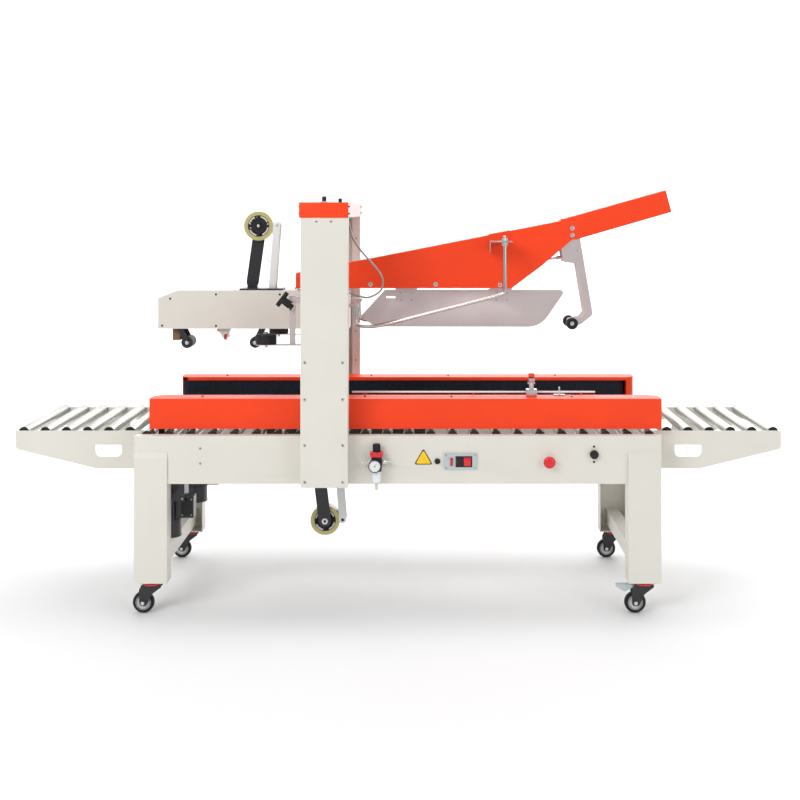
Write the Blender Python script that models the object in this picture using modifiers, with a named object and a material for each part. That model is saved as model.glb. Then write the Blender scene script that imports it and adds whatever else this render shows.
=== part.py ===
"""Random-size carton sealer: a roller bed with two side belts, and a tape head on two masts.

Metres, +Z up. +X points to the infeed end and -Y to the operator's side. The origin is on the
floor, at the middle of the machine's box. Each function models one sub-assembly.
"""

import math

import bmesh
import bpy
from mathutils import Matrix, Vector

# Clearances and stock
GAP = 0.0003
RUNNING = 0.001
SHEET = 0.003
PLATE = 0.004

# Bed: two C beams along X, joined at their ends
BED_HALF_LENGTH = 0.923
BED_HALF_WIDTH = 0.384
BED_BOTTOM = 0.458
BED_TOP = 0.626
BED_TOP_FLANGE = 0.0385
BED_BOTTOM_FLANGE = 0.050
BED_LIP = 0.045
END_PLATE_HEIGHT = 0.125

# Rollers of the bed and of both extension tables
ROLLER_RADIUS = 0.019
ROLLER_AXIS_Z = 0.618
EXTENSION_ROLLERS = 6
EXTENSION_PITCH = 0.0765
EXTENSION_FIRST = BED_HALF_LENGTH + 0.042
BED_ROLLERS = 24
ROLLER_STUB_RADIUS = 0.006
ROLLER_STUB = 0.005
STRIP_HEIGHT = 0.014

# Extension tables
RAIL_HALF_WIDTH = BED_HALF_WIDTH - 0.1105
RAIL_END = EXTENSION_FIRST + (EXTENSION_ROLLERS - 1) * EXTENSION_PITCH + 0.0255
RAIL_TOP = BED_TOP - 0.001
RAIL_NOSE_BOTTOM = 0.560
RAIL_KNEE_X = BED_HALF_LENGTH + 0.161
RAIL_BOTTOM = 0.490
RAIL_CROSS_TOP = 0.588
RAIL_CORNER = 0.012
HAND_HOLE_LOW = (BED_HALF_LENGTH + 0.069, 0.532)
HAND_HOLE_HIGH = (BED_HALF_LENGTH + 0.164, 0.574)
HAND_HOLE_CORNER = 0.018

# Legs
LEG_INNER_X = BED_HALF_LENGTH - 0.117
LEG_OUTER_X = BED_HALF_LENGTH - 0.001
LEG_FACE_Y = BED_HALF_WIDTH + 0.008
LEG_INNER_Y = BED_HALF_WIDTH - 0.066
LEG_TOP = 0.5705
LEG_BOTTOM = 0.1105
LEG_CHAMFER = 0.024
FOOT_PLATE = 0.004
BRACE_WIDTH = 0.050
BRACE_LOW = 0.133
BRACE_HIGH = 0.193

# Casters
CASTER_X = BED_HALF_LENGTH - 0.058
CASTER_Y = BED_HALF_WIDTH - 0.029
WHEEL_RADIUS = 0.0375
WHEEL_WIDTH = 0.026
WHEEL_TRAIL = 0.030
AXLE_RADIUS = 0.005
FORK_SIDE = 0.003
FORK_SIDE_GAP = 0.0015
FORK_TOP_REACH = 0.034
PEDAL_HALF_WIDTH = 0.011
PEDAL_CLEARANCE = 0.026
CROWN_RADIUS = 0.032
CROWN_HEIGHT = 0.012

# Side belt drives
COVER_LOW_X = -BED_HALF_LENGTH + 0.043
COVER_HIGH_X = BED_HALF_LENGTH + 0.010
COVER_OUTER_Y = BED_HALF_WIDTH - 0.049
COVER_INNER_Y = COVER_OUTER_Y - 0.0945
COVER_BOTTOM = 0.642
COVER_TOP = 0.749
COVER_CORNER = 0.045
COVER_LIP = 0.013
COVER_END_PLATE = 0.033
BELT_BOTTOM = 0.655
BELT_TOP = 0.734
BELT_THICKNESS = 0.005
BELT_CLEARANCE = 0.002
DRUM_CLEARANCE = 0.0005
TRIGGER_BAR_X = (-0.168, 0.709)
TRIGGER_BAR_RADIUS = 0.0035
TRIGGER_BAR_Z = 0.7600
TRIGGER_VALVE_X = 0.477
MOTOR_Y = COVER_OUTER_Y - 0.063
MOTOR_RADIUS = 0.044
TERMINAL_BOX_REACH = 0.050
FAN_COWL_TOP = 0.312
MOTOR_BOTTOM = 0.250
GEARBOX_BOTTOM = 0.380
GEARBOX_HALF_DEPTH = 0.040
MOTOR_LOW_X = COVER_LOW_X + 0.008
POST_RADIUS = 0.011

# Masts and top beam
MAST_LOW_X = -0.3346
MAST_HIGH_X = -0.1710
MAST_FACE_Y = BED_HALF_WIDTH + 0.066
MAST_TOP = 1.390
MAST_FLANGE = 0.032
BEAM_OVERHANG = 0.0035
BEAM_HEIGHT = 0.050
SCREW_RADIUS = 0.0075
SCREW_TOP = MAST_TOP + 0.074

# Tape head
HEAD_LOW_X = -0.908
HEAD_HIGH_X = -0.190
HEAD_HALF_WIDTH = 0.0565
HEAD_BOTTOM = 0.970
HEAD_TOP = 1.114
HEAD_CHAMFER_X = 0.070
HEAD_CHAMFER_Z = 0.029
CARRIAGE_LOW = 1.050
CARRIAGE_HIGH = 1.140
WIPER_X = (-0.858, -0.829)
KNIFE_X = (-0.693, -0.639)
TOOL_BOTTOM = 0.925
TOOL_HALF_WIDTH = 0.030
PRESS_ROLLER_Z = 0.917
FRONT_ROLLER_X = -0.802
REAR_ROLLER_X = -0.545
FRONT_ROLLER_RADIUS = 0.022
REAR_ROLLER_RADIUS = 0.021
PRESS_ARM_OFFSET = 0.058
PRESS_PIVOT_Z = 1.040

# Tape rolls
ROLL_RADIUS = 0.0555
ROLL_WIDTH = 0.048
ROLL_BORE = 0.0075
ROLL_PIN = 0.0065
UPPER_ROLL = (-0.534, 1.356)
LOWER_HEAD_X = (-0.500, 0.120)
LOWER_HEAD_BOTTOM = 0.470
LOWER_HEAD_TOP = 0.600
LOWER_ROLL = (-0.282, 0.242)
ROLL_ARM_WIDTH = 0.047
ROLL_ARM_PLATE = 0.008
GUARD_ARM_WIDTH = 0.026

# Flap cover, extension, guide plate and guide bars
FLAP_HALF_WIDTH = 0.050
FLAP_LOW_X = -0.391
FLAP_BOTTOM = 1.122
FLAP_BACK_TOP = 1.178
FLAP_PEAK = (0.614, 1.3765)
FLAP_NOSE = (0.646, 1.302)
FLAP_THROAT = (0.537, 1.208)
FLAP_HEEL_X = 0.422
EXTENSION_TIP_TOP = (1.002, 1.491)
EXTENSION_TIP_BOTTOM = (1.024, 1.409)
EXTENSION_ROOT = (0.661, 1.304)
EXTENSION_ROOT_TOP = (0.616, 1.382)
GUIDE_PLATE_THICKNESS = 0.002
GUIDE_BAR_RADIUS = 0.007
GUIDE_BAR_FRONT_Y = 0.190
GUIDE_BAR_REAR_Y = 0.130
BRACKET_X = (0.334, 0.415)

# Conduit
CONDUIT_RADIUS = 0.004

# Kicker
KICKER_PIVOT = (0.650, 1.335)
KICKER_WHEEL = (0.648, 0.990)
KICKER_WHEEL_RADIUS = 0.022
KICKER_WHEEL_WIDTH = 0.022
KICKER_WHEEL_Y = 0.0565
KICKER_AXLE = 0.004
KICKER_PIN = (0.629, 1.239)
KICKER_HALF_WIDTH = 0.045
CYLINDER_PIVOT = (0.300, 1.190)
CYLINDER_RADIUS = 0.016
CYLINDER_LENGTH = 0.200
ROD_RADIUS = 0.004

# Squeeze rollers
SQUEEZE_X = -0.483
SQUEEZE_Y = 0.200
SQUEEZE_RADIUS = 0.038
SQUEEZE_LOW = 0.9282
SQUEEZE_HIGH = 0.965
SQUEEZE_PIN = 0.006
SQUEEZE_POST_X = -0.387

# Front panel
PANEL_Y = -BED_HALF_WIDTH - GAP
PANEL_THICKNESS = 0.006
SWITCH_PLATE_LOW = (0.163, 0.509)
SWITCH_PLATE_HIGH = (0.277, 0.566)
ROCKER_LOW = (0.2055, 0.5215)
ROCKER_HIGH = (0.2570, 0.5530)
LAMP_LOW = (0.183, 0.523)
LAMP_HIGH = (0.194, 0.552)
STOP_CENTRE = (0.5295, 0.537)
STOP_RADIUS = 0.021
STOP_TRAVEL = 0.006
STOP_COLLAR = 0.010
STOP_STEM = 0.012
PORT_CENTRE = (0.139, 0.538)
SHAFT_END_CENTRE = (0.687, 0.562)
REGULATOR_X = -0.073
REGULATOR_Y = -BED_HALF_WIDTH - 0.0255

COLOURS = {
    "cream": ((0.78, 0.76, 0.70), 0.45, 0.0),
    "orange": ((0.96, 0.06, 0.015), 0.40, 0.0),
    "black": ((0.02, 0.02, 0.022), 0.50, 0.0),
    "rubber": ((0.012, 0.015, 0.02), 0.80, 0.0),
    "zinc": ((0.42, 0.42, 0.40), 0.35, 1.0),
    "steel": ((0.66, 0.62, 0.61), 0.28, 1.0),
    "chrome": ((0.80, 0.80, 0.80), 0.12, 1.0),
    "tape": ((0.62, 0.56, 0.22), 0.30, 0.0),
    "red": ((0.75, 0.01, 0.02), 0.35, 0.0),
}


def roller_pitch():
    """Spacing of the bed rollers, which fill the length between the two extension tables."""
    return 2 * EXTENSION_FIRST / (BED_ROLLERS + 1)


# ---------------------------------------------------------------- modelling helpers


def clear_scene():
    for obj in list(bpy.data.objects):
        bpy.data.objects.remove(obj, do_unlink=True)


def collection(name):
    found = bpy.data.collections.get(name) or bpy.data.collections.new(name)
    if name not in bpy.context.scene.collection.children:
        bpy.context.scene.collection.children.link(found)
    return found


def material(name):
    if name in bpy.data.materials:
        return bpy.data.materials[name]
    colour, roughness, metallic = COLOURS[name]
    made = bpy.data.materials.new(name)
    made.use_nodes = True
    shader = made.node_tree.nodes["Principled BSDF"]
    shader.inputs["Base Color"].default_value = (*colour, 1)
    shader.inputs["Roughness"].default_value = roughness
    shader.inputs["Metallic"].default_value = metallic
    made.diffuse_color = (*colour, 1)
    return made


def piece(mesh):
    made = bpy.data.objects.new(mesh.name, mesh)
    bpy.context.scene.collection.objects.link(made)
    return made


def evaluated_mesh(obj):
    bpy.context.view_layer.update()
    graph = bpy.context.evaluated_depsgraph_get()
    return bpy.data.meshes.new_from_object(obj.evaluated_get(graph), depsgraph=graph)


def closed(mesh):
    """Weld the seams and turn the faces out."""
    form = bmesh.new()
    form.from_mesh(mesh)
    bmesh.ops.remove_doubles(form, verts=form.verts, dist=1e-5)
    bmesh.ops.recalc_face_normals(form, faces=form.faces)
    form.to_mesh(mesh)
    form.free()
    return mesh


def block(low, high):
    """A box between two corners, given in any order."""
    low, high = Vector(low), Vector(high)
    form = bmesh.new()
    size = [abs(a - b) for a, b in zip(low, high)]
    place = Matrix.Translation((low + high) / 2) @ Matrix.Diagonal((*size, 1))
    bmesh.ops.create_cube(form, size=1, matrix=place)
    mesh = bpy.data.meshes.new("block")
    form.to_mesh(mesh)
    form.free()
    return piece(mesh)


def rod(start, end, radius, segments=16, end_radius=None):
    """A round bar, or a cone, from one point to another."""
    start, end = Vector(start), Vector(end)
    along = end - start
    turn = along.to_track_quat("Z", "Y").to_matrix().to_4x4()
    form = bmesh.new()
    bmesh.ops.create_cone(
        form,
        cap_ends=True,
        segments=segments,
        radius1=radius,
        radius2=radius if end_radius is None else end_radius,
        depth=along.length,
        matrix=Matrix.Translation((start + end) / 2) @ turn,
    )
    mesh = bpy.data.meshes.new("rod")
    form.to_mesh(mesh)
    form.free()
    return piece(mesh)


def turned(profile, centre, axis="Z", segments=20):
    """A closed (radius, height) profile, clear of the axis, turned about Z and laid along axis."""
    mesh = bpy.data.meshes.new("turned")
    count = len(profile)
    rim = [(i, (i + 1) % count) for i in range(count)]
    mesh.from_pydata([(r, 0, h) for r, h in profile], rim, [])
    raw = piece(mesh)
    screw = raw.modifiers.new("turn", "SCREW")
    screw.steps = screw.render_steps = segments
    screw.use_merge_vertices = True
    screw.merge_threshold = 1e-5
    done = closed(evaluated_mesh(raw))
    bpy.data.objects.remove(raw)
    turn = {"Z": Matrix(), "Y": Matrix.Rotation(math.radians(90), 4, "X")}[axis]
    done.transform(Matrix.Translation(centre) @ turn)
    return piece(done)


def rounded(corners, steps=4):
    """The outline through (x, y, radius) corners, each replaced by an arc of its radius."""
    points = []
    count = len(corners)
    for i, (x, y, radius) in enumerate(corners):
        here = Vector((x, y))
        if radius == 0:
            points.append((x, y))
            continue
        back = (Vector(corners[i - 1][:2]) - here).normalized()
        ahead = (Vector(corners[(i + 1) % count][:2]) - here).normalized()
        half = back.angle(ahead) / 2
        centre = here + (back + ahead).normalized() * radius / math.sin(half)
        first = here + back * radius / math.tan(half) - centre
        last = here + ahead * radius / math.tan(half) - centre
        sweep = first.angle_signed(last)
        for k in range(steps + 1):
            turn = Matrix.Rotation(-sweep * k / steps, 2)
            points.append(tuple(centre + turn @ first))
    return points


PLANES = {
    "XZ": Matrix(((1, 0, 0, 0), (0, 0, -1, 0), (0, 1, 0, 0), (0, 0, 0, 1))),
    "YZ": Matrix(((0, 0, 1, 0), (1, 0, 0, 0), (0, 1, 0, 0), (0, 0, 0, 1))),
    "XY": Matrix(),
}


def plate(plane, outline, low, high, holes=()):
    """A flat outline in a plane, filled between two places along the plane's normal."""
    curve = bpy.data.curves.new("plate", "CURVE")
    curve.dimensions = "2D"
    curve.fill_mode = "BOTH"
    curve.extrude = abs(high - low) / 2
    for points in (outline, *holes):
        spline = curve.splines.new("POLY")
        spline.points.add(len(points) - 1)
        for point, (x, y) in zip(spline.points, points):
            point.co = (x, y, 0, 1)
        spline.use_cyclic_u = True
    raw = piece_of_curve(curve)
    middle = (low + high) / 2
    raw.transform(PLANES[plane])
    normal = {"XZ": (0, 1, 0), "YZ": (1, 0, 0), "XY": (0, 0, 1)}[plane]
    raw.transform(Matrix.Translation(Vector(normal) * middle))
    return piece(raw)


def tube(points, radius, resolution=2):
    """A round bar bent along a list of points."""
    curve = bpy.data.curves.new("tube", "CURVE")
    curve.dimensions = "3D"
    curve.bevel_depth = radius
    curve.bevel_resolution = resolution
    curve.use_fill_caps = True
    spline = curve.splines.new("POLY")
    spline.points.add(len(points) - 1)
    for point, place in zip(spline.points, points):
        point.co = (*place, 1)
    return piece(piece_of_curve(curve))


def piece_of_curve(curve):
    """The closed mesh of a curve."""
    raw = bpy.data.objects.new("curve", curve)
    bpy.context.scene.collection.objects.link(raw)
    mesh = closed(evaluated_mesh(raw))
    bpy.data.objects.remove(raw)
    return mesh


def combine(base, others, operation):
    """Join or cut others with base, one Boolean each, and keep the result as base's own mesh."""
    for other in others:
        cut = base.modifiers.new(operation.lower(), "BOOLEAN")
        cut.operation = operation
        cut.solver = "EXACT"
        cut.object = other
    mesh = evaluated_mesh(base)
    base.modifiers.clear()
    base.data = mesh
    for other in others:
        bpy.data.objects.remove(other)
    return base


def node(name, pieces, finish, cuts=()):
    """One named sub-part: the pieces joined, the cuts taken out, with its material."""
    made = combine(pieces[0], pieces[1:], "UNION") if len(pieces) > 1 else pieces[0]
    if cuts:
        made = combine(made, list(cuts), "DIFFERENCE")
    made.name = made.data.name = name
    made.data.materials.clear()
    made.data.materials.append(material(finish))
    made.data.shade_smooth()
    made.data.set_sharp_from_angle(angle=math.radians(35))
    bpy.context.scene.collection.objects.unlink(made)
    collection("carton_sealer").objects.link(made)
    return made


def mirrored(outline):
    """The same outline on the other side of the first coordinate, kept in its turning sense."""
    return [(-x, y) for x, y in reversed(outline)]


def smooth_path(points, steps):
    """A smooth line through points, by Catmull-Rom spans."""
    places = [Vector(p) for p in points]
    places = [2 * places[0] - places[1], *places, 2 * places[-1] - places[-2]]
    line = []
    for i in range(1, len(places) - 2):
        a, b, c, d = places[i - 1 : i + 3]
        for k in range(steps):
            t = k / steps
            line.append(
                0.5 * (2 * b + (c - a) * t + (2 * a - 5 * b + 4 * c - d) * t * t
                       + (3 * b - a - 3 * c + d) * t ** 3)
            )
    return [tuple(p) for p in (*line, places[-2])]


# ---------------------------------------------------------------- bed, tables and legs


def beam_section(side):
    """Section of a bed beam in Y and Z: a C with its top flange turned down to carry the rollers."""
    out, web = BED_HALF_WIDTH, BED_HALF_WIDTH - SHEET
    lip = out - BED_TOP_FLANGE
    foot = out - BED_BOTTOM_FLANGE
    outline = [
        (out, BED_BOTTOM), (out, BED_TOP), (lip, BED_TOP), (lip, BED_TOP - BED_LIP),
        (lip + SHEET, BED_TOP - BED_LIP), (lip + SHEET, BED_TOP - SHEET), (web, BED_TOP - SHEET),
        (web, BED_BOTTOM + SHEET), (foot, BED_BOTTOM + SHEET), (foot, BED_BOTTOM),
    ]
    return outline if side > 0 else mirrored(outline)


def bed_frame():
    pieces = []
    for side in (-1, 1):
        pieces.append(plate("YZ", beam_section(side), -BED_HALF_LENGTH, BED_HALF_LENGTH))
    for end in (-1, 1):
        high = (end * BED_HALF_LENGTH, BED_HALF_WIDTH - SHEET / 2, BED_BOTTOM + END_PLATE_HEIGHT)
        low = (end * (BED_HALF_LENGTH - SHEET), -BED_HALF_WIDTH + SHEET / 2, BED_BOTTOM)
        pieces.append(block(low, high))
    x, z = STOP_CENTRE
    inside = -BED_HALF_WIDTH + SHEET / 2
    for (cx, cz), radius, depth in (
        ((x, z), 0.019, STOP_COLLAR), (PORT_CENTRE, 0.009, 0.004), (SHAFT_END_CENTRE, 0.014, 0.012),
    ):
        pieces.append(rod((cx, inside, cz), (cx, -BED_HALF_WIDTH - depth, cz), radius, 20))
    socket = rod((x, -BED_HALF_WIDTH + 0.02, z), (x, -BED_HALF_WIDTH - 0.03, z), STOP_STEM + RUNNING / 2, 20)
    node("bed_frame", pieces, "cream", [socket])


def extension_rollers():
    """Each table's rollers, which turn on stubs between its rails."""
    face = RAIL_HALF_WIDTH - PLATE - GAP
    for name, end in (("outfeed", -1), ("infeed", 1)):
        for i in range(EXTENSION_ROLLERS):
            x = end * (EXTENSION_FIRST + i * EXTENSION_PITCH)
            barrel = face - ROLLER_STUB
            pieces = [
                rod((x, -barrel, ROLLER_AXIS_Z), (x, barrel, ROLLER_AXIS_Z), ROLLER_RADIUS, 12),
                rod((x, -face, ROLLER_AXIS_Z), (x, face, ROLLER_AXIS_Z), ROLLER_STUB_RADIUS, 8),
            ]
            node(f"{name}_roller_{i + 1}", pieces, "zinc")


def bed_rollers():
    """The roller cassette between the beams. Its rollers are split beside the lower tape head."""
    face = BED_HALF_WIDTH - BED_TOP_FLANGE - GAP
    split = HEAD_HALF_WIDTH + 0.010
    pieces, beside = [], []
    for i in range(BED_ROLLERS):
        x = EXTENSION_FIRST - (i + 1) * roller_pitch()
        beside_head = LOWER_HEAD_X[0] - 0.03 < x < LOWER_HEAD_X[1] + 0.03
        spans = [(-face, -split), (split, face)] if beside_head else [(-face, face)]
        beside += [x] if beside_head else []
        for low, high in spans:
            pieces.append(rod((x, low, ROLLER_AXIS_Z), (x, high, ROLLER_AXIS_Z), ROLLER_RADIUS, 10))
    last = EXTENSION_FIRST - roller_pitch()
    low_z, high_z = ROLLER_AXIS_Z - STRIP_HEIGHT, ROLLER_AXIS_Z
    for side in (-1, 1):
        outer = side * (face - 0.001)
        pieces.append(block((-last, outer, low_z), (last, outer - side * SHEET, high_z)))
        inner = side * (split + 0.001)
        pitch = roller_pitch()
        ends = (beside[-1] - pitch, beside[0] + pitch)
        pieces.append(block((ends[0], inner, low_z), (ends[1], inner + side * SHEET, high_z)))
    node("bed_rollers", pieces, "zinc")


def extension_rails():
    for name, end in (("outfeed", -1), ("infeed", 1)):
        root = BED_HALF_LENGTH + GAP
        outline = rounded([
            (root, RAIL_TOP, 0), (RAIL_END, RAIL_TOP, 0), (RAIL_END, RAIL_NOSE_BOTTOM, RAIL_CORNER),
            (RAIL_KNEE_X, RAIL_BOTTOM, 0), (root, RAIL_BOTTOM, 0),
        ])
        (x0, z0), (x1, z1) = HAND_HOLE_LOW, HAND_HOLE_HIGH
        hole = rounded([(x0, z1, 0), (x1, z1, 0), (x1, z0, HAND_HOLE_CORNER), (x0, z0, HAND_HOLE_CORNER)])
        if end < 0:
            outline, hole = mirrored(outline), mirrored(hole)
        pieces = []
        for side in (-1, 1):
            inner, outer = side * (RAIL_HALF_WIDTH - PLATE), side * RAIL_HALF_WIDTH
            pieces.append(plate("XZ", outline, inner, outer, holes=[hole]))
        inside = RAIL_HALF_WIDTH - PLATE / 2
        cross_low = (end * root, -inside, RAIL_BOTTOM + 0.003)
        pieces.append(block(cross_low, (end * (root + PLATE), inside, RAIL_CROSS_TOP)))
        tie_x = end * (RAIL_END - 0.030)
        tie_z = RAIL_NOSE_BOTTOM + 0.018
        pieces.append(rod((tie_x, -inside, tie_z), (tie_x, inside, tie_z), 0.008, 12))
        node(f"{name}_rails", pieces, "cream")


def legs():
    """Two channel legs for each end, open to the inside, with a brace across."""
    shin_top = BED_BOTTOM - GAP
    back = BED_HALF_WIDTH + GAP
    for name, end in (("outfeed", -1), ("infeed", 1)):
        x0, x1 = end * LEG_INNER_X, end * LEG_OUTER_X
        pieces, cuts = [], []
        for side in (-1, 1):
            face = [
                (LEG_FACE_Y, LEG_BOTTOM), (LEG_FACE_Y, LEG_TOP - LEG_CHAMFER), (back, LEG_TOP),
                (back, shin_top), (LEG_INNER_Y, shin_top), (LEG_INNER_Y, LEG_BOTTOM),
            ]
            face = face if side > 0 else mirrored(face)
            pieces.append(plate("YZ", face, x0, x1))
            wall = end * SHEET
            cuts.append(block(
                (x0 + wall, side * (LEG_INNER_Y - 0.01), LEG_BOTTOM + FOOT_PLATE),
                (x1 - wall, side * (LEG_FACE_Y - SHEET), shin_top - SHEET),
            ))
        made = node(f"{name}_legs", pieces, "cream", cuts)
        middle = (LEG_INNER_X + LEG_OUTER_X) / 2
        brace_low = (end * (middle - BRACE_WIDTH / 2), -LEG_FACE_Y + SHEET / 2, BRACE_LOW)
        brace_high = (end * (middle + BRACE_WIDTH / 2), LEG_FACE_Y - SHEET / 2, BRACE_HIGH)
        combine(made, [block(brace_low, brace_high)], "UNION")


def casters():
    for end_name, end in (("outfeed", -1), ("infeed", 1)):
        for side_name, side in (("near", -1), ("far", 1)):
            braked = (side_name, end_name) == ("near", "infeed")
            caster(f"{side_name}_{end_name}", end * CASTER_X, side * CASTER_Y, braked)


def caster(name, x, y, braked):
    """A fork that swivels under the leg, and its wheel, which trails the swivel axis."""
    axle = x - WHEEL_TRAIL
    crown_top = LEG_BOTTOM - GAP
    crown_low = crown_top - CROWN_HEIGHT
    inner = WHEEL_WIDTH / 2 + FORK_SIDE_GAP
    outer = inner + FORK_SIDE
    pieces = [rod((x, y, crown_low), (x, y, crown_top), CROWN_RADIUS, 16)]
    side = rounded([
        (x + FORK_TOP_REACH, crown_low + 0.004, 0), (x - FORK_TOP_REACH, crown_low + 0.004, 0.006),
        (axle - 0.014, crown_low - 0.016, 0.010), (axle - 0.012, WHEEL_RADIUS - 0.011, 0.010),
        (axle + 0.012, WHEEL_RADIUS - 0.011, 0.010), (axle + 0.031, WHEEL_RADIUS + 0.030, 0.012),
        (x + FORK_TOP_REACH, crown_low - 0.006, 0.004),
    ], 3)
    for way in (-1, 1):
        pieces.append(plate("XZ", side, y + way * inner, y + way * outer))
    bridge_low = (x - 0.018, y - outer + 0.0005, crown_low - 0.004)
    pieces.append(block(bridge_low, (x + 0.018, y + outer - 0.0005, crown_low + 0.003)))
    pieces.append(rod((axle, y - outer - 0.003, WHEEL_RADIUS), (axle, y + outer + 0.003, WHEEL_RADIUS),
                      AXLE_RADIUS, 12))
    if braked:
        top = WHEEL_RADIUS * 2 + PEDAL_CLEARANCE
        pedal = [
            (axle - 0.068, top), (axle - 0.066, top - 0.008), (axle - 0.050, top - 0.018),
            (axle - 0.036, top - 0.024), (axle - 0.010, top - 0.011),
            (x - 0.010, top - 0.011), (x - 0.010, top),
        ]
        pieces.append(plate("XZ", pedal, y - PEDAL_HALF_WIDTH, y + PEDAL_HALF_WIDTH))
    node(f"{name}_caster_fork", pieces, "black")
    half = WHEEL_WIDTH / 2
    bore = AXLE_RADIUS + GAP
    tread = WHEEL_RADIUS - 0.004
    web = WHEEL_RADIUS * 0.62
    profile = [
        (bore, half), (web, half - 0.003), (tread, half - 0.001), (WHEEL_RADIUS, half - 0.007),
        (WHEEL_RADIUS, 0.007 - half), (tread, 0.001 - half), (web, 0.003 - half), (bore, -half),
    ]
    wheel = turned(profile, (axle, y, WHEEL_RADIUS), "Y", 20)
    node(f"{name}_caster_wheel", [wheel], "rubber")


# ---------------------------------------------------------------- side belt drives


def drive_cover(name, side):
    """A cover open below and along its inner side, where the belt runs."""
    def y(distance):
        return side * distance

    plan = [
        (COVER_LOW_X, y(COVER_OUTER_Y), 0), (COVER_HIGH_X, y(COVER_OUTER_Y), 0),
        (COVER_HIGH_X, y(COVER_INNER_Y), COVER_CORNER), (COVER_LOW_X, y(COVER_INNER_Y), COVER_CORNER),
    ]
    body = plate("XY", rounded(plan, 5), COVER_BOTTOM, COVER_TOP)
    ceiling = COVER_TOP - SHEET
    end = COVER_HIGH_X - COVER_END_PLATE
    room = block(
        (COVER_LOW_X + SHEET, y(COVER_INNER_Y + SHEET), COVER_BOTTOM - 0.01),
        (end, y(COVER_OUTER_Y - SHEET), ceiling),
    )
    window = block(
        (COVER_LOW_X - 0.01, y(COVER_INNER_Y - 0.01), COVER_BOTTOM - 0.01),
        (end, y(COVER_INNER_Y + COVER_CORNER), COVER_TOP - COVER_LIP),
    )
    combine(body, [room, window], "DIFFERENCE")
    pieces = [body]
    drum_y = (COVER_INNER_Y + COVER_OUTER_Y - SHEET) / 2
    drum_radius = belt_half_depth() - BELT_THICKNESS - DRUM_CLEARANCE
    for x in belt_centres():
        pieces.append(rod((x, y(drum_y), BELT_BOTTOM), (x, y(drum_y), BELT_TOP), drum_radius, 20))
        pieces.append(rod((x, y(drum_y), BELT_TOP - 0.01), (x, y(drum_y), ceiling + SHEET / 2), 0.010, 10))
    carrier_x = post_x()
    pieces.append(block(
        (COVER_LOW_X + 0.001, y(COVER_OUTER_Y - SHEET / 2), COVER_BOTTOM),
        (carrier_x + 0.030, y(COVER_INNER_Y + 0.010), COVER_BOTTOM + 0.005),
    ))
    if side < 0:
        pieces += trigger_pieces(y)
    node(name, pieces, "orange")


def trigger_pieces(y):
    """The trip bar along the cover's inner edge, its posts, and the valve that it works."""
    bar_y = COVER_INNER_Y + 0.0045
    low, high = TRIGGER_BAR_X
    pieces = [rod((low, y(bar_y), TRIGGER_BAR_Z), (high, y(bar_y), TRIGGER_BAR_Z), TRIGGER_BAR_RADIUS, 10)]
    for x in (low + 0.05, (low + high) / 2, high - 0.05):
        pieces.append(rod((x, y(bar_y), COVER_TOP - SHEET / 2), (x, y(bar_y), TRIGGER_BAR_Z), 0.0025, 8))
    valve_y = bar_y + 0.030
    x = TRIGGER_VALVE_X
    base_low = (x - 0.019, y(valve_y - 0.012), COVER_TOP - SHEET / 2)
    base = block(base_low, (x + 0.019, y(valve_y + 0.012), 0.775))
    pieces += [
        base,
        rod((x, y(valve_y), 0.770), (x, y(valve_y), 0.806), 0.0075, 12),
        rod((x, y(valve_y), 0.800), (x, y(valve_y), 0.831), 0.011, 12),
    ]
    return pieces


def belt_half_depth():
    return (COVER_OUTER_Y - SHEET - COVER_INNER_Y - BELT_CLEARANCE) / 2 - GAP


def belt_centres():
    """Centres of a belt's two drums along X."""
    half = belt_half_depth()
    return (COVER_LOW_X + 0.006 + half, COVER_HIGH_X - COVER_END_PLATE - 0.004 - half)


def post_x():
    """The gap between the first two bed rollers where a drive's post passes."""
    return -(EXTENSION_FIRST - 1.5 * roller_pitch())


def stadium(x_low, x_high, y, radius, steps=10):
    """A loop around two centres, as a flat outline."""
    points = []
    for x, start in ((x_high, -90), (x_low, 90)):
        for k in range(steps + 1):
            angle = math.radians(start + 180 * k / steps)
            points.append((x + radius * math.cos(angle), y + radius * math.sin(angle)))
    return points


def side_belt(name, side):
    low, high = belt_centres()
    y = side * (COVER_INNER_Y + COVER_OUTER_Y - SHEET) / 2
    half = belt_half_depth()
    loop = stadium(low, high, y, half)
    inside = stadium(low, high, y, half - BELT_THICKNESS)
    node(name, [plate("XY", loop, BELT_BOTTOM, BELT_TOP, holes=[inside])], "rubber")


def gearmotor(name, side):
    """The motor under the bed and the post that carries its belt drive."""
    y = side * MOTOR_Y
    depth = GEARBOX_HALF_DEPTH
    motor_x = MOTOR_LOW_X + MOTOR_RADIUS + 0.004
    box_top = BED_BOTTOM - 0.003
    right = motor_x + MOTOR_RADIUS
    box_edge = right + TERMINAL_BOX_REACH
    cowl = MOTOR_RADIUS + 0.0015
    pieces = [
        block((MOTOR_LOW_X, y - depth, GEARBOX_BOTTOM), (right + 0.020, y + depth, box_top)),
        rod((motor_x, y, MOTOR_BOTTOM), (motor_x, y, GEARBOX_BOTTOM + 0.005), MOTOR_RADIUS, 20),
        rod((motor_x, y, MOTOR_BOTTOM - 0.0005), (motor_x, y, FAN_COWL_TOP), cowl, 20),
        block((motor_x, y - 0.026, 0.318), (box_edge, y + 0.026, 0.395)),
        rod((post_x(), y, box_top - 0.005), (post_x(), y, COVER_BOTTOM - GAP), POST_RADIUS, 12),
    ]
    node(name, pieces, "black")


def drives():
    for name, side in (("near", -1), ("far", 1)):
        drive_cover(f"{name}_belt_cover", side)
        side_belt(f"{name}_side_belt", side)
        gearmotor(f"{name}_gearmotor", side)


# ---------------------------------------------------------------- masts


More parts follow.
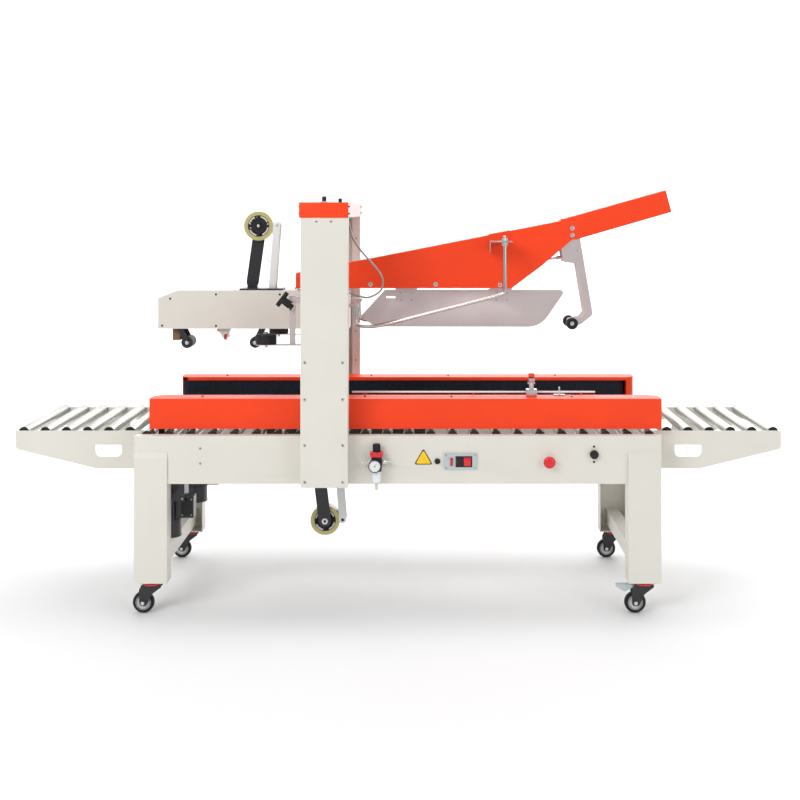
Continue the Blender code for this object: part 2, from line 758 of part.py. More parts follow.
def masts():
    back = BED_HALF_WIDTH + GAP
    slot_low, slot_high = MAST_LOW_X + MAST_FLANGE, MAST_HIGH_X - MAST_FLANGE
    for name, side in (("near", -1), ("far", 1)):
        body = block((MAST_LOW_X, side * back, BED_BOTTOM), (MAST_HIGH_X, side * MAST_FACE_Y, MAST_TOP))
        core = block(
            (MAST_LOW_X + SHEET, side * (back + SHEET), BED_BOTTOM - 0.01),
            (MAST_HIGH_X - SHEET, side * (MAST_FACE_Y - SHEET), MAST_TOP + 0.01),
        )
        slot = block(
            (slot_low, side * (back - 0.01), BED_BOTTOM - 0.01),
            (slot_high, side * (back + 0.01), MAST_TOP + 0.01),
        )
        node(f"{name}_mast", [body], "cream", [core, slot])


def screw_place():
    return (MAST_LOW_X + MAST_HIGH_X) / 2 - 0.0017, (BED_HALF_WIDTH + MAST_FACE_Y) / 2


def top_beam():
    low, high = MAST_LOW_X - BEAM_OVERHANG, MAST_HIGH_X + BEAM_OVERHANG / 3
    foot, top = MAST_TOP + GAP, MAST_TOP + BEAM_HEIGHT + 0.003
    body = block((low, -MAST_FACE_Y, foot), (high, MAST_FACE_Y, top))
    room = block(
        (low + SHEET, -MAST_FACE_Y + SHEET, foot - 0.01),
        (high - SHEET, MAST_FACE_Y - SHEET, top - SHEET),
    )
    combine(body, [room], "DIFFERENCE")
    x, y = screw_place()
    screws = [rod((x, side * y, top - 0.006), (x, side * y, SCREW_TOP), SCREW_RADIUS, 12) for side in (-1, 1)]
    node("top_beam", [body, *screws], "cream")


# ---------------------------------------------------------------- tape heads


def carriage():
    """The two arms that hang the head between the masts, with a shoe in each mast's slot."""
    x, _ = screw_place()
    pieces = []
    for side in (-1, 1):
        root, tip = side * (HEAD_HALF_WIDTH + GAP), side * (BED_HALF_WIDTH + GAP + SHEET + 0.004)
        pieces.append(block((x - 0.045, root, CARRIAGE_LOW), (x + 0.045, side * 0.376, CARRIAGE_HIGH)))
        pieces.append(block((x - 0.030, side * 0.370, CARRIAGE_LOW), (x + 0.030, tip, CARRIAGE_HIGH)))
        shoe_out = side * (MAST_FACE_Y - SHEET - RUNNING)
        pieces.append(block((x - 0.070, side * (BED_HALF_WIDTH + SHEET + RUNNING + GAP), CARRIAGE_LOW + 0.01),
                            (x + 0.070, shoe_out, CARRIAGE_HIGH - 0.01)))
        bar_y = side * (GUIDE_BAR_REAR_Y + 0.012)
        pieces.append(block((x + 0.030, bar_y - 0.020, 1.060), (-0.150, bar_y + 0.020, 1.0715)))
        pieces += squeeze_arm(side, x - 0.045)
    bridge = HEAD_HALF_WIDTH + GAP + SHEET
    pieces.append(block((x - 0.042, -bridge, HEAD_TOP + GAP), (x + 0.042, bridge, FLAP_BOTTOM - 0.0015)))
    node("head_carriage", pieces, "steel")


def head_housing():
    """The upper tape head's sheet housing, open below, with its wiper and knife guard."""
    outline = [
        (HEAD_LOW_X, HEAD_BOTTOM), (HEAD_LOW_X, HEAD_TOP - HEAD_CHAMFER_Z),
        (HEAD_LOW_X + HEAD_CHAMFER_X, HEAD_TOP), (HEAD_HIGH_X, HEAD_TOP), (HEAD_HIGH_X, HEAD_BOTTOM),
    ]
    room = [
        (HEAD_LOW_X + SHEET, HEAD_BOTTOM - 0.01), (HEAD_LOW_X + SHEET, HEAD_TOP - HEAD_CHAMFER_Z - SHEET / 2),
        (HEAD_LOW_X + HEAD_CHAMFER_X + SHEET / 2, HEAD_TOP - SHEET), (HEAD_HIGH_X - SHEET, HEAD_TOP - SHEET),
        (HEAD_HIGH_X - SHEET, HEAD_BOTTOM - 0.01),
    ]
    body = plate("XZ", outline, -HEAD_HALF_WIDTH, HEAD_HALF_WIDTH)
    inside = HEAD_HALF_WIDTH - SHEET
    combine(body, [plate("XZ", room, -inside, inside)], "DIFFERENCE")
    pieces = [body]
    for (low, high), root in ((WIPER_X, HEAD_TOP - 0.0045), (KNIFE_X, HEAD_TOP - SHEET / 2)):
        middle = (low + high) / 2
        pieces.append(block((middle - PLATE / 2, -TOOL_HALF_WIDTH + 0.001, HEAD_BOTTOM),
                            (middle + PLATE / 2, TOOL_HALF_WIDTH - 0.001, root)))
    low, high = WIPER_X
    pieces.append(block((low, -TOOL_HALF_WIDTH, TOOL_BOTTOM), (high, TOOL_HALF_WIDTH, HEAD_BOTTOM + 0.008)))
    low, high = KNIFE_X
    guard = [(low, HEAD_BOTTOM + 0.008), (high, HEAD_BOTTOM + 0.008), (high - 0.012, TOOL_BOTTOM + 0.020),
             (high - 0.018, TOOL_BOTTOM), (low + 0.022, TOOL_BOTTOM + 0.012)]
    pieces.append(plate("XZ", guard, -TOOL_HALF_WIDTH, TOOL_HALF_WIDTH))
    node("head_box", pieces, "cream")


def press_rollers():
    """The two rollers that press the tape down, each on a swinging pair of arms."""
    places = (
        ("front", FRONT_ROLLER_X, FRONT_ROLLER_RADIUS, -1),
        ("rear", REAR_ROLLER_X, REAR_ROLLER_RADIUS, 1),
    )
    for name, x, radius, way in places:
        pivot_x = x + way * PRESS_ARM_OFFSET
        along = math.atan2(PRESS_PIVOT_Z - PRESS_ROLLER_Z, pivot_x - x)
        across = (0.009 * math.sin(along), -0.009 * math.cos(along))
        arm = [
            (x - across[0], PRESS_ROLLER_Z - across[1]), (x + across[0], PRESS_ROLLER_Z + across[1]),
            (pivot_x + across[0], PRESS_PIVOT_Z + across[1]),
            (pivot_x - across[0], PRESS_PIVOT_Z - across[1]),
        ]
        outer = HEAD_HALF_WIDTH - SHEET - 0.010
        pieces = [plate("XZ", arm, side * (outer - SHEET), side * outer) for side in (-1, 1)]
        pieces.append(rod((x, -(outer - SHEET - 0.002), PRESS_ROLLER_Z),
                          (x, outer - SHEET - 0.002, PRESS_ROLLER_Z), radius, 20))
        for px, pz in ((x, PRESS_ROLLER_Z), (pivot_x, PRESS_PIVOT_Z)):
            pieces.append(rod((px, -outer - 0.001, pz), (px, outer + 0.001, pz), 0.005, 10))
        node(f"press_roller_{name}", pieces, "black")


def bar_outline(start, end, half):
    """A flat bar between two places, with a half-round end at each."""
    angle = math.atan2(end[1] - start[1], end[0] - start[0])
    points = []
    for (x, z), turn in ((end, angle), (start, angle + math.pi)):
        for k in range(7):
            a = turn - math.pi / 2 + math.pi * k / 6
            points.append((x + half * math.cos(a), z + half * math.sin(a)))
    return points


def roll_support(roll, foot, foot_z, guard_top, guard_foot, arm_y):
    """The arm and pin that carry a tape roll, and the guard arm that its tape runs over."""
    inner = arm_y[0]
    pin_end = -inner / abs(inner) * (ROLL_WIDTH / 2 + 0.003)
    pieces = [
        plate("XZ", bar_outline((foot, foot_z), roll, ROLL_ARM_WIDTH / 2), *arm_y),
        rod((roll[0], sum(arm_y) / 2, roll[1]), (roll[0], pin_end, roll[1]), ROLL_PIN, 12),
    ]
    half = GUARD_ARM_WIDTH / 2
    for side in (-1, 1):
        low, high = side * 0.024, side * 0.027
        pieces.append(plate("XZ", bar_outline(guard_foot, guard_top, half), low, high))
    x, z = guard_top
    pieces.append(rod((x, -0.025, z), (x, 0.025, z), 0.009, 12))
    x, z = guard_foot
    pieces.append(rod((x, -0.025, z), (x, 0.025, z), 0.007, 12))
    return pieces


def upper_roll_support():
    deck = HEAD_TOP + GAP
    x, z = UPPER_ROLL
    foot = (x - 0.030, deck + ROLL_ARM_WIDTH / 2 + 0.002)
    arm = (ROLL_WIDTH / 2 + 0.006, ROLL_WIDTH / 2 + 0.006 + ROLL_ARM_PLATE)
    guard_foot = (-0.482, deck + GUARD_ARM_WIDTH / 2 + 0.002)
    pieces = roll_support(UPPER_ROLL, foot[0], foot[1], (-0.465, 1.359), guard_foot, arm)
    pieces.append(block((foot[0] - 0.040, -0.040, deck), (-0.440, 0.044, deck + 0.006)))
    web = (foot[0] + ROLL_ARM_WIDTH / 2 - 0.004)
    pieces.append(block((foot[0] - 0.020, arm[0], deck + 0.001), (web, arm[1], deck + 0.03)))
    shoe_low = (guard_foot[0] - 0.012, -0.026, deck + 0.001)
    pieces.append(block(shoe_low, (guard_foot[0] + 0.012, 0.026, deck + 0.012)))
    node("upper_roll_arm", pieces, "black")


def tape_roll(name, place):
    """A roll of tape on its hub, with a bore that turns on the arm's pin."""
    half = ROLL_WIDTH / 2
    profile = [
        (ROLL_BORE, half + 0.001), (0.018, half + 0.001), (0.020, half - 0.004), (0.036, half - 0.004),
        (0.038, half), (ROLL_RADIUS, half), (ROLL_RADIUS, -half), (0.038, -half),
        (0.036, 0.004 - half), (0.020, 0.004 - half), (0.018, -half - 0.001), (ROLL_BORE, -half - 0.001),
    ]
    x, z = place
    node(name, [turned(profile, (x, 0, z), "Y", 24)], "tape")


def lower_head():
    """The lower tape head's box, between the split bed rollers, and its hanging roll arm."""
    low, high = LOWER_HEAD_X
    half = HEAD_HALF_WIDTH
    pieces = [block((low, -half, LOWER_HEAD_BOTTOM), (high, half, LOWER_HEAD_TOP))]
    arm = (-(ROLL_WIDTH / 2 + 0.006), -(ROLL_WIDTH / 2 + 0.006 + ROLL_ARM_PLATE))
    foot_z = LOWER_HEAD_BOTTOM + 0.020
    pieces += roll_support(LOWER_ROLL, LOWER_ROLL[0] - 0.030, foot_z, (-0.216, 0.245), (-0.235, foot_z), arm)
    for x in (low + 0.10, high - 0.10):
        z = LOWER_HEAD_TOP + 0.012
        pieces.append(rod((x, -half + 0.008, z), (x, half - 0.008, z), 0.020, 16))
    node("lower_tape_head", pieces, "black")


# ---------------------------------------------------------------- flap folding


def inset(outline, distance):
    """The outline moved in by a distance. Its corners run anticlockwise."""
    moved = []
    for i, here in enumerate(outline):
        here = Vector(here)
        back = (here - Vector(outline[i - 1])).normalized()
        ahead = (Vector(outline[(i + 1) % len(outline)]) - here).normalized()
        normal = (Vector((-back.y, back.x)) + Vector((-ahead.y, ahead.x))).normalized()
        moved.append(tuple(here + normal * distance / normal.dot(Vector((-ahead.y, ahead.x)))))
    return moved


def channel(outline, open_edge):
    """A folded sheet cover over an anticlockwise outline, open along one edge and all below it."""
    body = plate("XZ", outline, -FLAP_HALF_WIDTH, FLAP_HALF_WIDTH)
    room = inset(outline, SHEET)
    for i in open_edge:
        x, z = room[i]
        room[i] = (x, z - 0.02)
    inside = FLAP_HALF_WIDTH - SHEET
    return combine(body, [plate("XZ", room, -inside, inside)], "DIFFERENCE")


def flap_cover():
    outline = [
        (FLAP_LOW_X, FLAP_BOTTOM), (FLAP_HEEL_X, FLAP_BOTTOM), FLAP_THROAT, FLAP_NOSE, FLAP_PEAK,
        (FLAP_LOW_X, FLAP_BACK_TOP),
    ]
    body = channel(outline, (0, 1, 2, 3))
    mouth = [FLAP_PEAK, FLAP_NOSE]
    slope = (Vector(mouth[1]) - Vector(mouth[0])).normalized()
    out = Vector((-slope.y, slope.x))
    a, b = Vector(FLAP_PEAK) + slope * SHEET, Vector(FLAP_NOSE) + slope * 0.02
    cut = plate("XZ", [tuple(a - out * 0.01), tuple(b - out * 0.01), tuple(b + out * 0.01),
                       tuple(a + out * 0.01)], -FLAP_HALF_WIDTH + SHEET, FLAP_HALF_WIDTH - SHEET)
    combine(body, [cut], "DIFFERENCE")
    x, z = CYLINDER_PIVOT
    inside = FLAP_HALF_WIDTH - SHEET / 2
    pin = rod((x, -inside, z), (x, inside, z), 0.005, 12)
    node("flap_cover", [body, pin], "orange")


def cover_extension():
    """The raised arm past the cover, which carries the kicker's pivot between its sides."""
    outline = [EXTENSION_ROOT, EXTENSION_TIP_BOTTOM, EXTENSION_TIP_TOP, EXTENSION_ROOT_TOP]
    shift = Vector((0.0015, 0.0005))
    outline = [tuple(Vector(p) + (shift if i in (0, 3) else Vector((0, 0)))) for i, p in enumerate(outline)]
    body = channel(outline, (0, 1))
    inside = FLAP_HALF_WIDTH - SHEET
    x, z = KICKER_PIVOT
    root_low = (Vector(outline[0]) + Vector(outline[3])) / 2
    mouth_low = (root_low.x - 0.06, -inside, root_low.y - 0.06)
    mouth = block(mouth_low, (root_low.x + 0.035, inside, root_low.y + 0.022))
    combine(body, [mouth], "DIFFERENCE")
    pin = rod((x, -inside - 0.001, z), (x, inside + 0.001, z), 0.006, 12)
    node("cover_extension", [body, pin], "orange")


def guide_plate():
    """The steel plough under the cover: it lies on the machine's middle line."""
    outline = rounded([
        (-0.150, 1.012, 0), (-0.094, 0.973, 0.010), (0.535, 0.972, 0.090), (0.632, 1.113, 0.012),
        (-0.057, 1.113, 0),
    ], 6)
    slot = rounded([(-0.051, 1.0815, 0), (-0.017, 1.0815, 0), (-0.017, 1.0885, 0), (-0.051, 1.0885, 0)])
    half = GUIDE_PLATE_THICKNESS / 2
    pieces = [plate("XZ", outline, -half, half, holes=[slot])]
    for low, high in ((-0.017, 0.066), (0.343, 0.426)):
        tab_top = FLAP_BOTTOM + 0.016
        for side in (-1, 1):
            pieces.append(block((low, side * half * 0.8, 1.066), (high, side * (half + 0.002), tab_top)))
        inside = FLAP_HALF_WIDTH - SHEET - GAP
        pieces.append(block((low, -inside, tab_top - 0.003), (high - 0.020, inside, tab_top)))
    node("guide_plate", pieces, "steel")


def strap_line(lift):
    """The two ends of a line over the flap cover's sloping top, lifted off it."""
    rise = (FLAP_PEAK[1] - FLAP_BACK_TOP) / (FLAP_PEAK[0] - FLAP_LOW_X)
    return [(x, FLAP_BACK_TOP + (x - FLAP_LOW_X) * rise + lift) for x in BRACKET_X]


def guide_bars():
    """The bent side bars that keep the carton square, each hung from a bracket on the cover."""
    pieces = []
    for side in (-1, 1):
        front_y, rear_y = side * GUIDE_BAR_FRONT_Y, side * GUIDE_BAR_REAR_Y
        corners = [
            (0.387, front_y, 1.314), (0.387, front_y, 1.135), (0.3845, front_y, 1.112),
            (0.355, front_y * 0.985, 1.101),
            (-0.060, rear_y * 1.04, 0.992), (-0.095, rear_y, 0.986), (-0.140, rear_y, 0.987),
            (-0.158, rear_y, 0.995), (-0.1605, rear_y, 1.012), (-0.1615, rear_y, 1.0594),
        ]
        pieces.append(tube(corners, GUIDE_BAR_RADIUS, 2))
        root = side * (FLAP_HALF_WIDTH + GAP)
        pieces.append(block((BRACKET_X[0], root, 1.2985), (BRACKET_X[1], front_y + side * 0.016, 1.3025)))
        lip = (BRACKET_X[0] + PLATE, front_y - side * 0.040, 1.3015)
        pieces.append(block((BRACKET_X[0], root, 1.262), lip))
        side_plate = [(BRACKET_X[0], 1.262), (BRACKET_X[1], 1.2985), *reversed(strap_line(0.001))]
        pieces.append(plate("XZ", side_plate, root, root + side * SHEET))
        pieces.append(rod((0.387, front_y, 1.288), (0.387, front_y, 1.308), 0.012, 6))
    strap = [*strap_line(GAP), *reversed(strap_line(GAP + SHEET))]
    over = FLAP_HALF_WIDTH + GAP + SHEET
    pieces.append(plate("XZ", strap, -over, over))
    node("guide_bars", pieces, "chrome")


def kicker():
    """The swinging arm that folds the rear flap: it straddles the guide plate."""
    px, pz = KICKER_PIVOT
    wx, wz = KICKER_WHEEL
    outer = KICKER_HALF_WIDTH
    arm = rounded([
        (px - 0.030, pz + 0.012, 0.008), (px - 0.041, 1.267, 0), (0.617, 1.221, 0.006), (0.667, 1.214, 0.004),
        (0.697, 1.030, 0.006), (0.684, 1.012, 0.005),
        (wx - 0.009, wz + 0.013, 0.004), (wx - 0.009, wz - 0.013, 0.004),
        (0.684, 0.986, 0.012), (0.7285, 1.022, 0.014), (0.680, 1.311, 0.006), (px + 0.020, pz + 0.012, 0.008),
    ], 3)
    pieces, cuts = [], []
    for side in (-1, 1):
        pieces.append(plate("XZ", arm, side * (outer - 0.0025), side * outer))
        pieces.append(rod((wx, side * (outer - 0.001), wz), (wx, side * (KICKER_WHEEL_Y + 0.013), wz),
                          KICKER_AXLE, 10))
    bridge = rod((0.672, -outer + 0.001, 1.262), (0.672, outer - 0.001, 1.262), 0.006, 10)
    cuts.append(rod((px, -outer - 0.01, pz), (px, outer + 0.01, pz), 0.0075, 14))
    node("kicker_arm", [*pieces, bridge], "steel", cuts)
    half = KICKER_WHEEL_WIDTH / 2
    bore = KICKER_AXLE + GAP
    rim = KICKER_WHEEL_RADIUS
    profile = [
        (bore, half), (rim - 0.003, half - 0.001), (rim, half - 0.004),
        (rim, 0.004 - half), (rim - 0.003, 0.001 - half), (bore, -half),
    ]
    for name, side in (("near", -1), ("far", 1)):
        wheel = turned(profile, (wx, side * KICKER_WHEEL_Y, wz), "Y", 16)
        node(f"{name}_kicker_wheel", [wheel], "rubber")


def kicker_drive():
    """The air cylinder on its pivot in the cover, and its rod, whose eye stays clear of the arm."""
    cx, cz = CYLINDER_PIVOT
    px, pz = KICKER_PIN
    along = Vector((px - cx, 0, pz - cz))
    reach = along.length
    ahead = along.normalized()
    root = Vector((cx, 0, cz))

    def at(distance):
        return root + ahead * distance

    pieces = [
        rod(at(-0.012), at(CYLINDER_LENGTH), CYLINDER_RADIUS, 16),
        rod(at(CYLINDER_LENGTH - 0.002), at(CYLINDER_LENGTH + 0.010), 0.010, 12),
    ]
    bore = rod(at(CYLINDER_LENGTH - 0.120), at(CYLINDER_LENGTH + 0.030), ROD_RADIUS + GAP, 10)
    eye = rod((cx, -0.03, cz), (cx, 0.03, cz), 0.005 + GAP, 12)
    node("kicker_cylinder", pieces, "steel", [bore, eye])
    rod_pieces = [
        rod(at(CYLINDER_LENGTH - 0.055), at(reach - 0.008), ROD_RADIUS, 10),
        rod(at(reach - 0.035), at(reach - 0.012), 0.007, 6),
        rod((px, -0.008, pz), (px, 0.008, pz), 0.011, 14),
    ]
    node("kicker_rod", rod_pieces, "steel")


def squeeze_arm(side, carriage_face):
    """The post, arm and clamp knob that hold one squeeze roller beside the head."""
    y = side * SQUEEZE_Y
    post = SQUEEZE_POST_X
    nose = y + side * 0.024
    return [
        block((SQUEEZE_X - 0.035, y - 0.022, 0.9242), (post + 0.075, y + 0.022, 0.9272)),
        block((post - 0.0105, y - 0.006, 0.9262), (post + 0.0105, y + 0.006, 1.105)),
        block((post - 0.012, y - 0.012, 1.078), (carriage_face + 0.002, y + 0.012, 1.100)),
        rod((SQUEEZE_X, y, 0.915), (SQUEEZE_X, y, SQUEEZE_HIGH + 0.004), SQUEEZE_PIN, 12),
        rod((post, nose, 1.066), (post - 0.033, nose, 1.091), 0.013, 12),
        block((post - 0.012, y, 1.058), (post + 0.012, nose + side * 0.010, 1.080)),
        rod((post - 0.050, nose, 1.074), (post - 0.020, nose, 1.112), 0.0075, 12),
    ]


def squeeze_rollers():
    for name, side in (("near", -1), ("far", 1)):
        bore = SQUEEZE_PIN + GAP
        profile = [
            (SQUEEZE_RADIUS - 0.003, SQUEEZE_LOW), (SQUEEZE_RADIUS, SQUEEZE_LOW + 0.003),
            (SQUEEZE_RADIUS, SQUEEZE_HIGH - 0.003), (SQUEEZE_RADIUS - 0.003, SQUEEZE_HIGH),
            (bore, SQUEEZE_HIGH), (bore, SQUEEZE_LOW),
        ]
        roller = turned(profile, (SQUEEZE_X, side * SQUEEZE_Y, 0), "Z", 28)
        node(f"{name}_squeeze_roller", [roller], "rubber")


def conduit():
    """The armoured lead from the top beam to the carriage. Its points are chosen by hand."""
    route = [
        (-0.1850, -0.300, 1.3890), (-0.1755, -0.300, 1.3600), (-0.1612, -0.300, 1.3158),
        (-0.1362, -0.300, 1.2766), (-0.0935, -0.300, 1.2266), (-0.0649, -0.300, 1.1910),
        (-0.0542, -0.300, 1.1589), (-0.0649, -0.300, 1.1268), (-0.1042, -0.300, 1.1054),
        (-0.1362, -0.300, 1.1090), (-0.1700, -0.300, 1.1200), (-0.2088, -0.300, 1.1260),
    ]
    node("conduit", [tube(smooth_path(route, 2), CONDUIT_RADIUS, 1)], "steel")


# ---------------------------------------------------------------- front panel


def panel_block(low, high, depth, foot=0.0):
    """A block on the front face, from corners in X and Z, standing out by depth."""
    return block((low[0], PANEL_Y - foot, low[1]), (high[0], PANEL_Y - depth, high[1]))


def control_plate():
    """The switch plate with its lamp and the rocker's window."""
    window = block(
        (ROCKER_LOW[0], PANEL_Y + 0.01, ROCKER_LOW[1]),
        (ROCKER_HIGH[0], PANEL_Y - PANEL_THICKNESS - 0.01, ROCKER_HIGH[1]),
    )
    pieces = [panel_block(SWITCH_PLATE_LOW, SWITCH_PLATE_HIGH, PANEL_THICKNESS)]
    pieces.append(panel_block(LAMP_LOW, LAMP_HIGH, PANEL_THICKNESS + 0.003, foot=0.002))
    node("control_plate", pieces, "zinc", [window])


def stop_button():
    x, z = STOP_CENTRE
    face = -BED_HALF_WIDTH - STOP_COLLAR - STOP_TRAVEL - RUNNING
    cap = rod((x, face, z), (x, face - 0.009, z), STOP_RADIUS, 28)
    crown = rod((x, face - 0.0085, z), (x, face - 0.0145, z), STOP_RADIUS, 28, end_radius=STOP_RADIUS * 0.72)
    stem = rod((x, face - 0.001, z), (x, -BED_HALF_WIDTH - STOP_COLLAR / 2, z), STOP_STEM, 20)
    node("e_stop_button", [cap, crown, stem], "red")


def power_rocker():
    """The switch's rocker: two faces that slope up to its ends."""
    x0, x1 = ROCKER_LOW[0] + RUNNING, ROCKER_HIGH[0] - RUNNING
    z0, z1 = ROCKER_LOW[1] + RUNNING, ROCKER_HIGH[1] - RUNNING
    back, front = PANEL_Y - 0.0045, PANEL_Y - 0.0105
    middle = (x0 + x1) / 2
    x0, x1 = x0 + 0.001, x1 - 0.001
    outline = [(x0, back), (x1, back), (x1, front), (middle, front + 0.002), (x0, front)]
    node("power_rocker", [plate("XY", outline, z0, z1)], "red")


def air_regulator():
    x, y = REGULATOR_X, REGULATOR_Y
    pieces = [
        rod((x, y, 0.5140), (x, y, 0.5610), 0.0185, 24),
        rod((x, y, 0.5600), (x, y, 0.5760), 0.0235, 24),
        rod((x, y, 0.4680), (x, y, 0.5150), 0.0160, 20),
        rod((x, y, 0.4425), (x, y, 0.4690), 0.0060, 12),
        rod((x - 0.0055, y - 0.010, 0.530), (x - 0.0055, y - 0.031, 0.530), 0.0220, 28),
        rod((x - 0.050, y, 0.538), (x + 0.050, y, 0.538), 0.0050, 12),
        block((x - 0.014, y + 0.012, 0.545), (x + 0.014, PANEL_Y, 0.5755)),
    ]
    node("air_regulator", pieces, "black")
    knob = rod((x, y, 0.5763), (x, y, 0.6040), 0.0135, 24)
    node("regulator_knob", [knob], "black")


def build():
    clear_scene()
    bed_frame()
    legs()
    casters()
    extension_rails()
    extension_rollers()
    bed_rollers()
    drives()
    masts()
    top_beam()
    carriage()
    head_housing()
    press_rollers()
    upper_roll_support()
    tape_roll("upper_tape_roll", UPPER_ROLL)
    tape_roll("lower_tape_roll", LOWER_ROLL)
    lower_head()
    flap_cover()
    cover_extension()
    guide_plate()
    guide_bars()
    kicker()
    kicker_drive()
    squeeze_rollers()
    conduit()
    control_plate()
    stop_button()
    power_rocker()
    air_regulator()


build()
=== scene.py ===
"""The looks of the carton sealer: finer shapes and every material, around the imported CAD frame."""

import math

import bmesh
import bpy
from mathutils import Matrix, Vector


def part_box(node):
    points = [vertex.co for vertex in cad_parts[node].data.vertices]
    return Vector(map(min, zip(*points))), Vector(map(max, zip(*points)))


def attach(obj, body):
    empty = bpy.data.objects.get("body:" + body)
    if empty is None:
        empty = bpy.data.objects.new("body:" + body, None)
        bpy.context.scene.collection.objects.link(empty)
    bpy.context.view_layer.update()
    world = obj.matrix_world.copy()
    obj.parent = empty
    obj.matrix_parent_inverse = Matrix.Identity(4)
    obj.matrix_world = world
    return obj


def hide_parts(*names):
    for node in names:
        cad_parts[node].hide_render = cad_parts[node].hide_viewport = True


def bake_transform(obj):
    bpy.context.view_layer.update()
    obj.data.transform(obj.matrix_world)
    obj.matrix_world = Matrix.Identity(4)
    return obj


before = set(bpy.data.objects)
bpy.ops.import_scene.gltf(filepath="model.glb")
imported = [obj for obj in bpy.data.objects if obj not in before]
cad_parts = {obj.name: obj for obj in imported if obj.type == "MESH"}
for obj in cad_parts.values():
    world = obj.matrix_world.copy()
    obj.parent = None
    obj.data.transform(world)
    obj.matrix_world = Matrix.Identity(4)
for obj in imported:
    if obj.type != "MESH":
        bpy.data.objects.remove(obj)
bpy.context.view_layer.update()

NEAR, FAR = -1, 1
ROLLERS_PER_TABLE = 6
SCREW_HEAD = 0.0052
STRAP_HALF_WIDTH = 0.0537
SIDES = (("near", NEAR), ("far", FAR))
BED_ROLLERS = 24
BED_FACE_Y = 0.3840
MAST_FACE_Y = 0.450
HEAD_FACE_Y = 0.0565
FLAP_FACE_Y = 0.0500
BAR_FRONT_Y, BAR_REAR_Y = 0.190, 0.130
BAR_HANGER_X = 0.387
GUARD_INNER_Y, GUARD_OUTER_Y = 0.0237, 0.0274


# ---------------------------------------------------------------- materials


def add_node(tree, kind, values):
    """A shader node of a kind, with the values of its inputs."""
    made = tree.nodes.new(f"ShaderNode{kind}")
    for key, value in values.items():
        made.inputs[key].default_value = value
    return made


def surface(name, colour, roughness=0.45, metallic=0.0, grain=900.0, bump=0.05, mottle=0.04,
            stretch=(1, 1, 1), coat=0.0):
    """A shader with fine grain in its bump and roughness, and slow variation in its colour."""
    made = bpy.data.materials.new(name)
    made.use_nodes = True
    tree = made.node_tree
    shader = tree.nodes["Principled BSDF"]
    coords = tree.nodes.new("ShaderNodeTexCoord")
    scale = add_node(tree, "Mapping", {"Scale": stretch})
    tree.links.new(coords.outputs["Object"], scale.inputs["Vector"])
    fine = add_node(tree, "TexNoise", {"Scale": grain, "Detail": 3})
    tree.links.new(scale.outputs["Vector"], fine.inputs["Vector"])
    slow = add_node(tree, "TexNoise", {"Scale": 5.0, "Detail": 4})
    tree.links.new(coords.outputs["Object"], slow.inputs["Vector"])
    tint = tree.nodes.new("ShaderNodeValToRGB")
    dark = [c * (1 - mottle) for c in colour]
    light = [min(1, c * (1 + mottle)) for c in colour]
    tint.color_ramp.elements[0].color = (*dark, 1)
    tint.color_ramp.elements[0].position = 0.35
    tint.color_ramp.elements[1].color = (*light, 1)
    tint.color_ramp.elements[1].position = 0.65
    tree.links.new(slow.outputs["Fac"], tint.inputs["Fac"])
    tree.links.new(tint.outputs["Color"], shader.inputs["Base Color"])
    spread = {"To Min": max(0.02, roughness - 0.06), "To Max": min(1.0, roughness + 0.06)}
    rough = add_node(tree, "MapRange", spread)
    tree.links.new(fine.outputs["Fac"], rough.inputs["Value"])
    tree.links.new(rough.outputs["Result"], shader.inputs["Roughness"])
    relief = add_node(tree, "Bump", {"Strength": bump, "Distance": 0.0005})
    tree.links.new(fine.outputs["Fac"], relief.inputs["Height"])
    tree.links.new(relief.outputs["Normal"], shader.inputs["Normal"])
    shader.inputs["Metallic"].default_value = metallic
    shader.inputs["Coat Weight"].default_value = coat
    shader.inputs["Specular IOR Level"].default_value = 0.5 if metallic or coat else 0.25
    return made


def wound_film(name, colour):
    """Clear brown-yellow tape seen on its wound edge: fine rings round the roll's axis."""
    made = surface(name, colour, 0.25, bump=0.02, coat=0.4)
    tree = made.node_tree
    shader = tree.nodes["Principled BSDF"]
    coords = tree.nodes["Texture Coordinate"]
    rings = add_node(tree, "TexWave", {"Scale": 220, "Distortion": 0.6})
    rings.wave_type = "RINGS"
    rings.rings_direction = "Y"
    tree.links.new(coords.outputs["Object"], rings.inputs["Vector"])
    tint = tree.nodes.new("ShaderNodeValToRGB")
    tint.color_ramp.elements[0].color = (colour[0] * 0.72, colour[1] * 0.70, colour[2] * 0.6, 1)
    tint.color_ramp.elements[1].color = (*colour, 1)
    tree.links.new(rings.outputs["Fac"], tint.inputs["Fac"])
    tree.links.new(tint.outputs["Color"], shader.inputs["Base Color"])
    return made


CREAM = surface("cream powder coat", (0.74, 0.715, 0.645), 0.42, bump=0.10, mottle=0.015)
ORANGE = surface("orange powder coat", (0.93, 0.060, 0.012), 0.40, bump=0.10, mottle=0.03)
# Cream sheet for the top beam, tinted pink: the pink is painted reflection of the red-orange covers, not the
# sheet's own colour.
CREAM_RED_REFLECTION = surface("cream sheet with painted red reflection", (0.72, 0.64, 0.62), 0.40, bump=0.06, mottle=0.02)
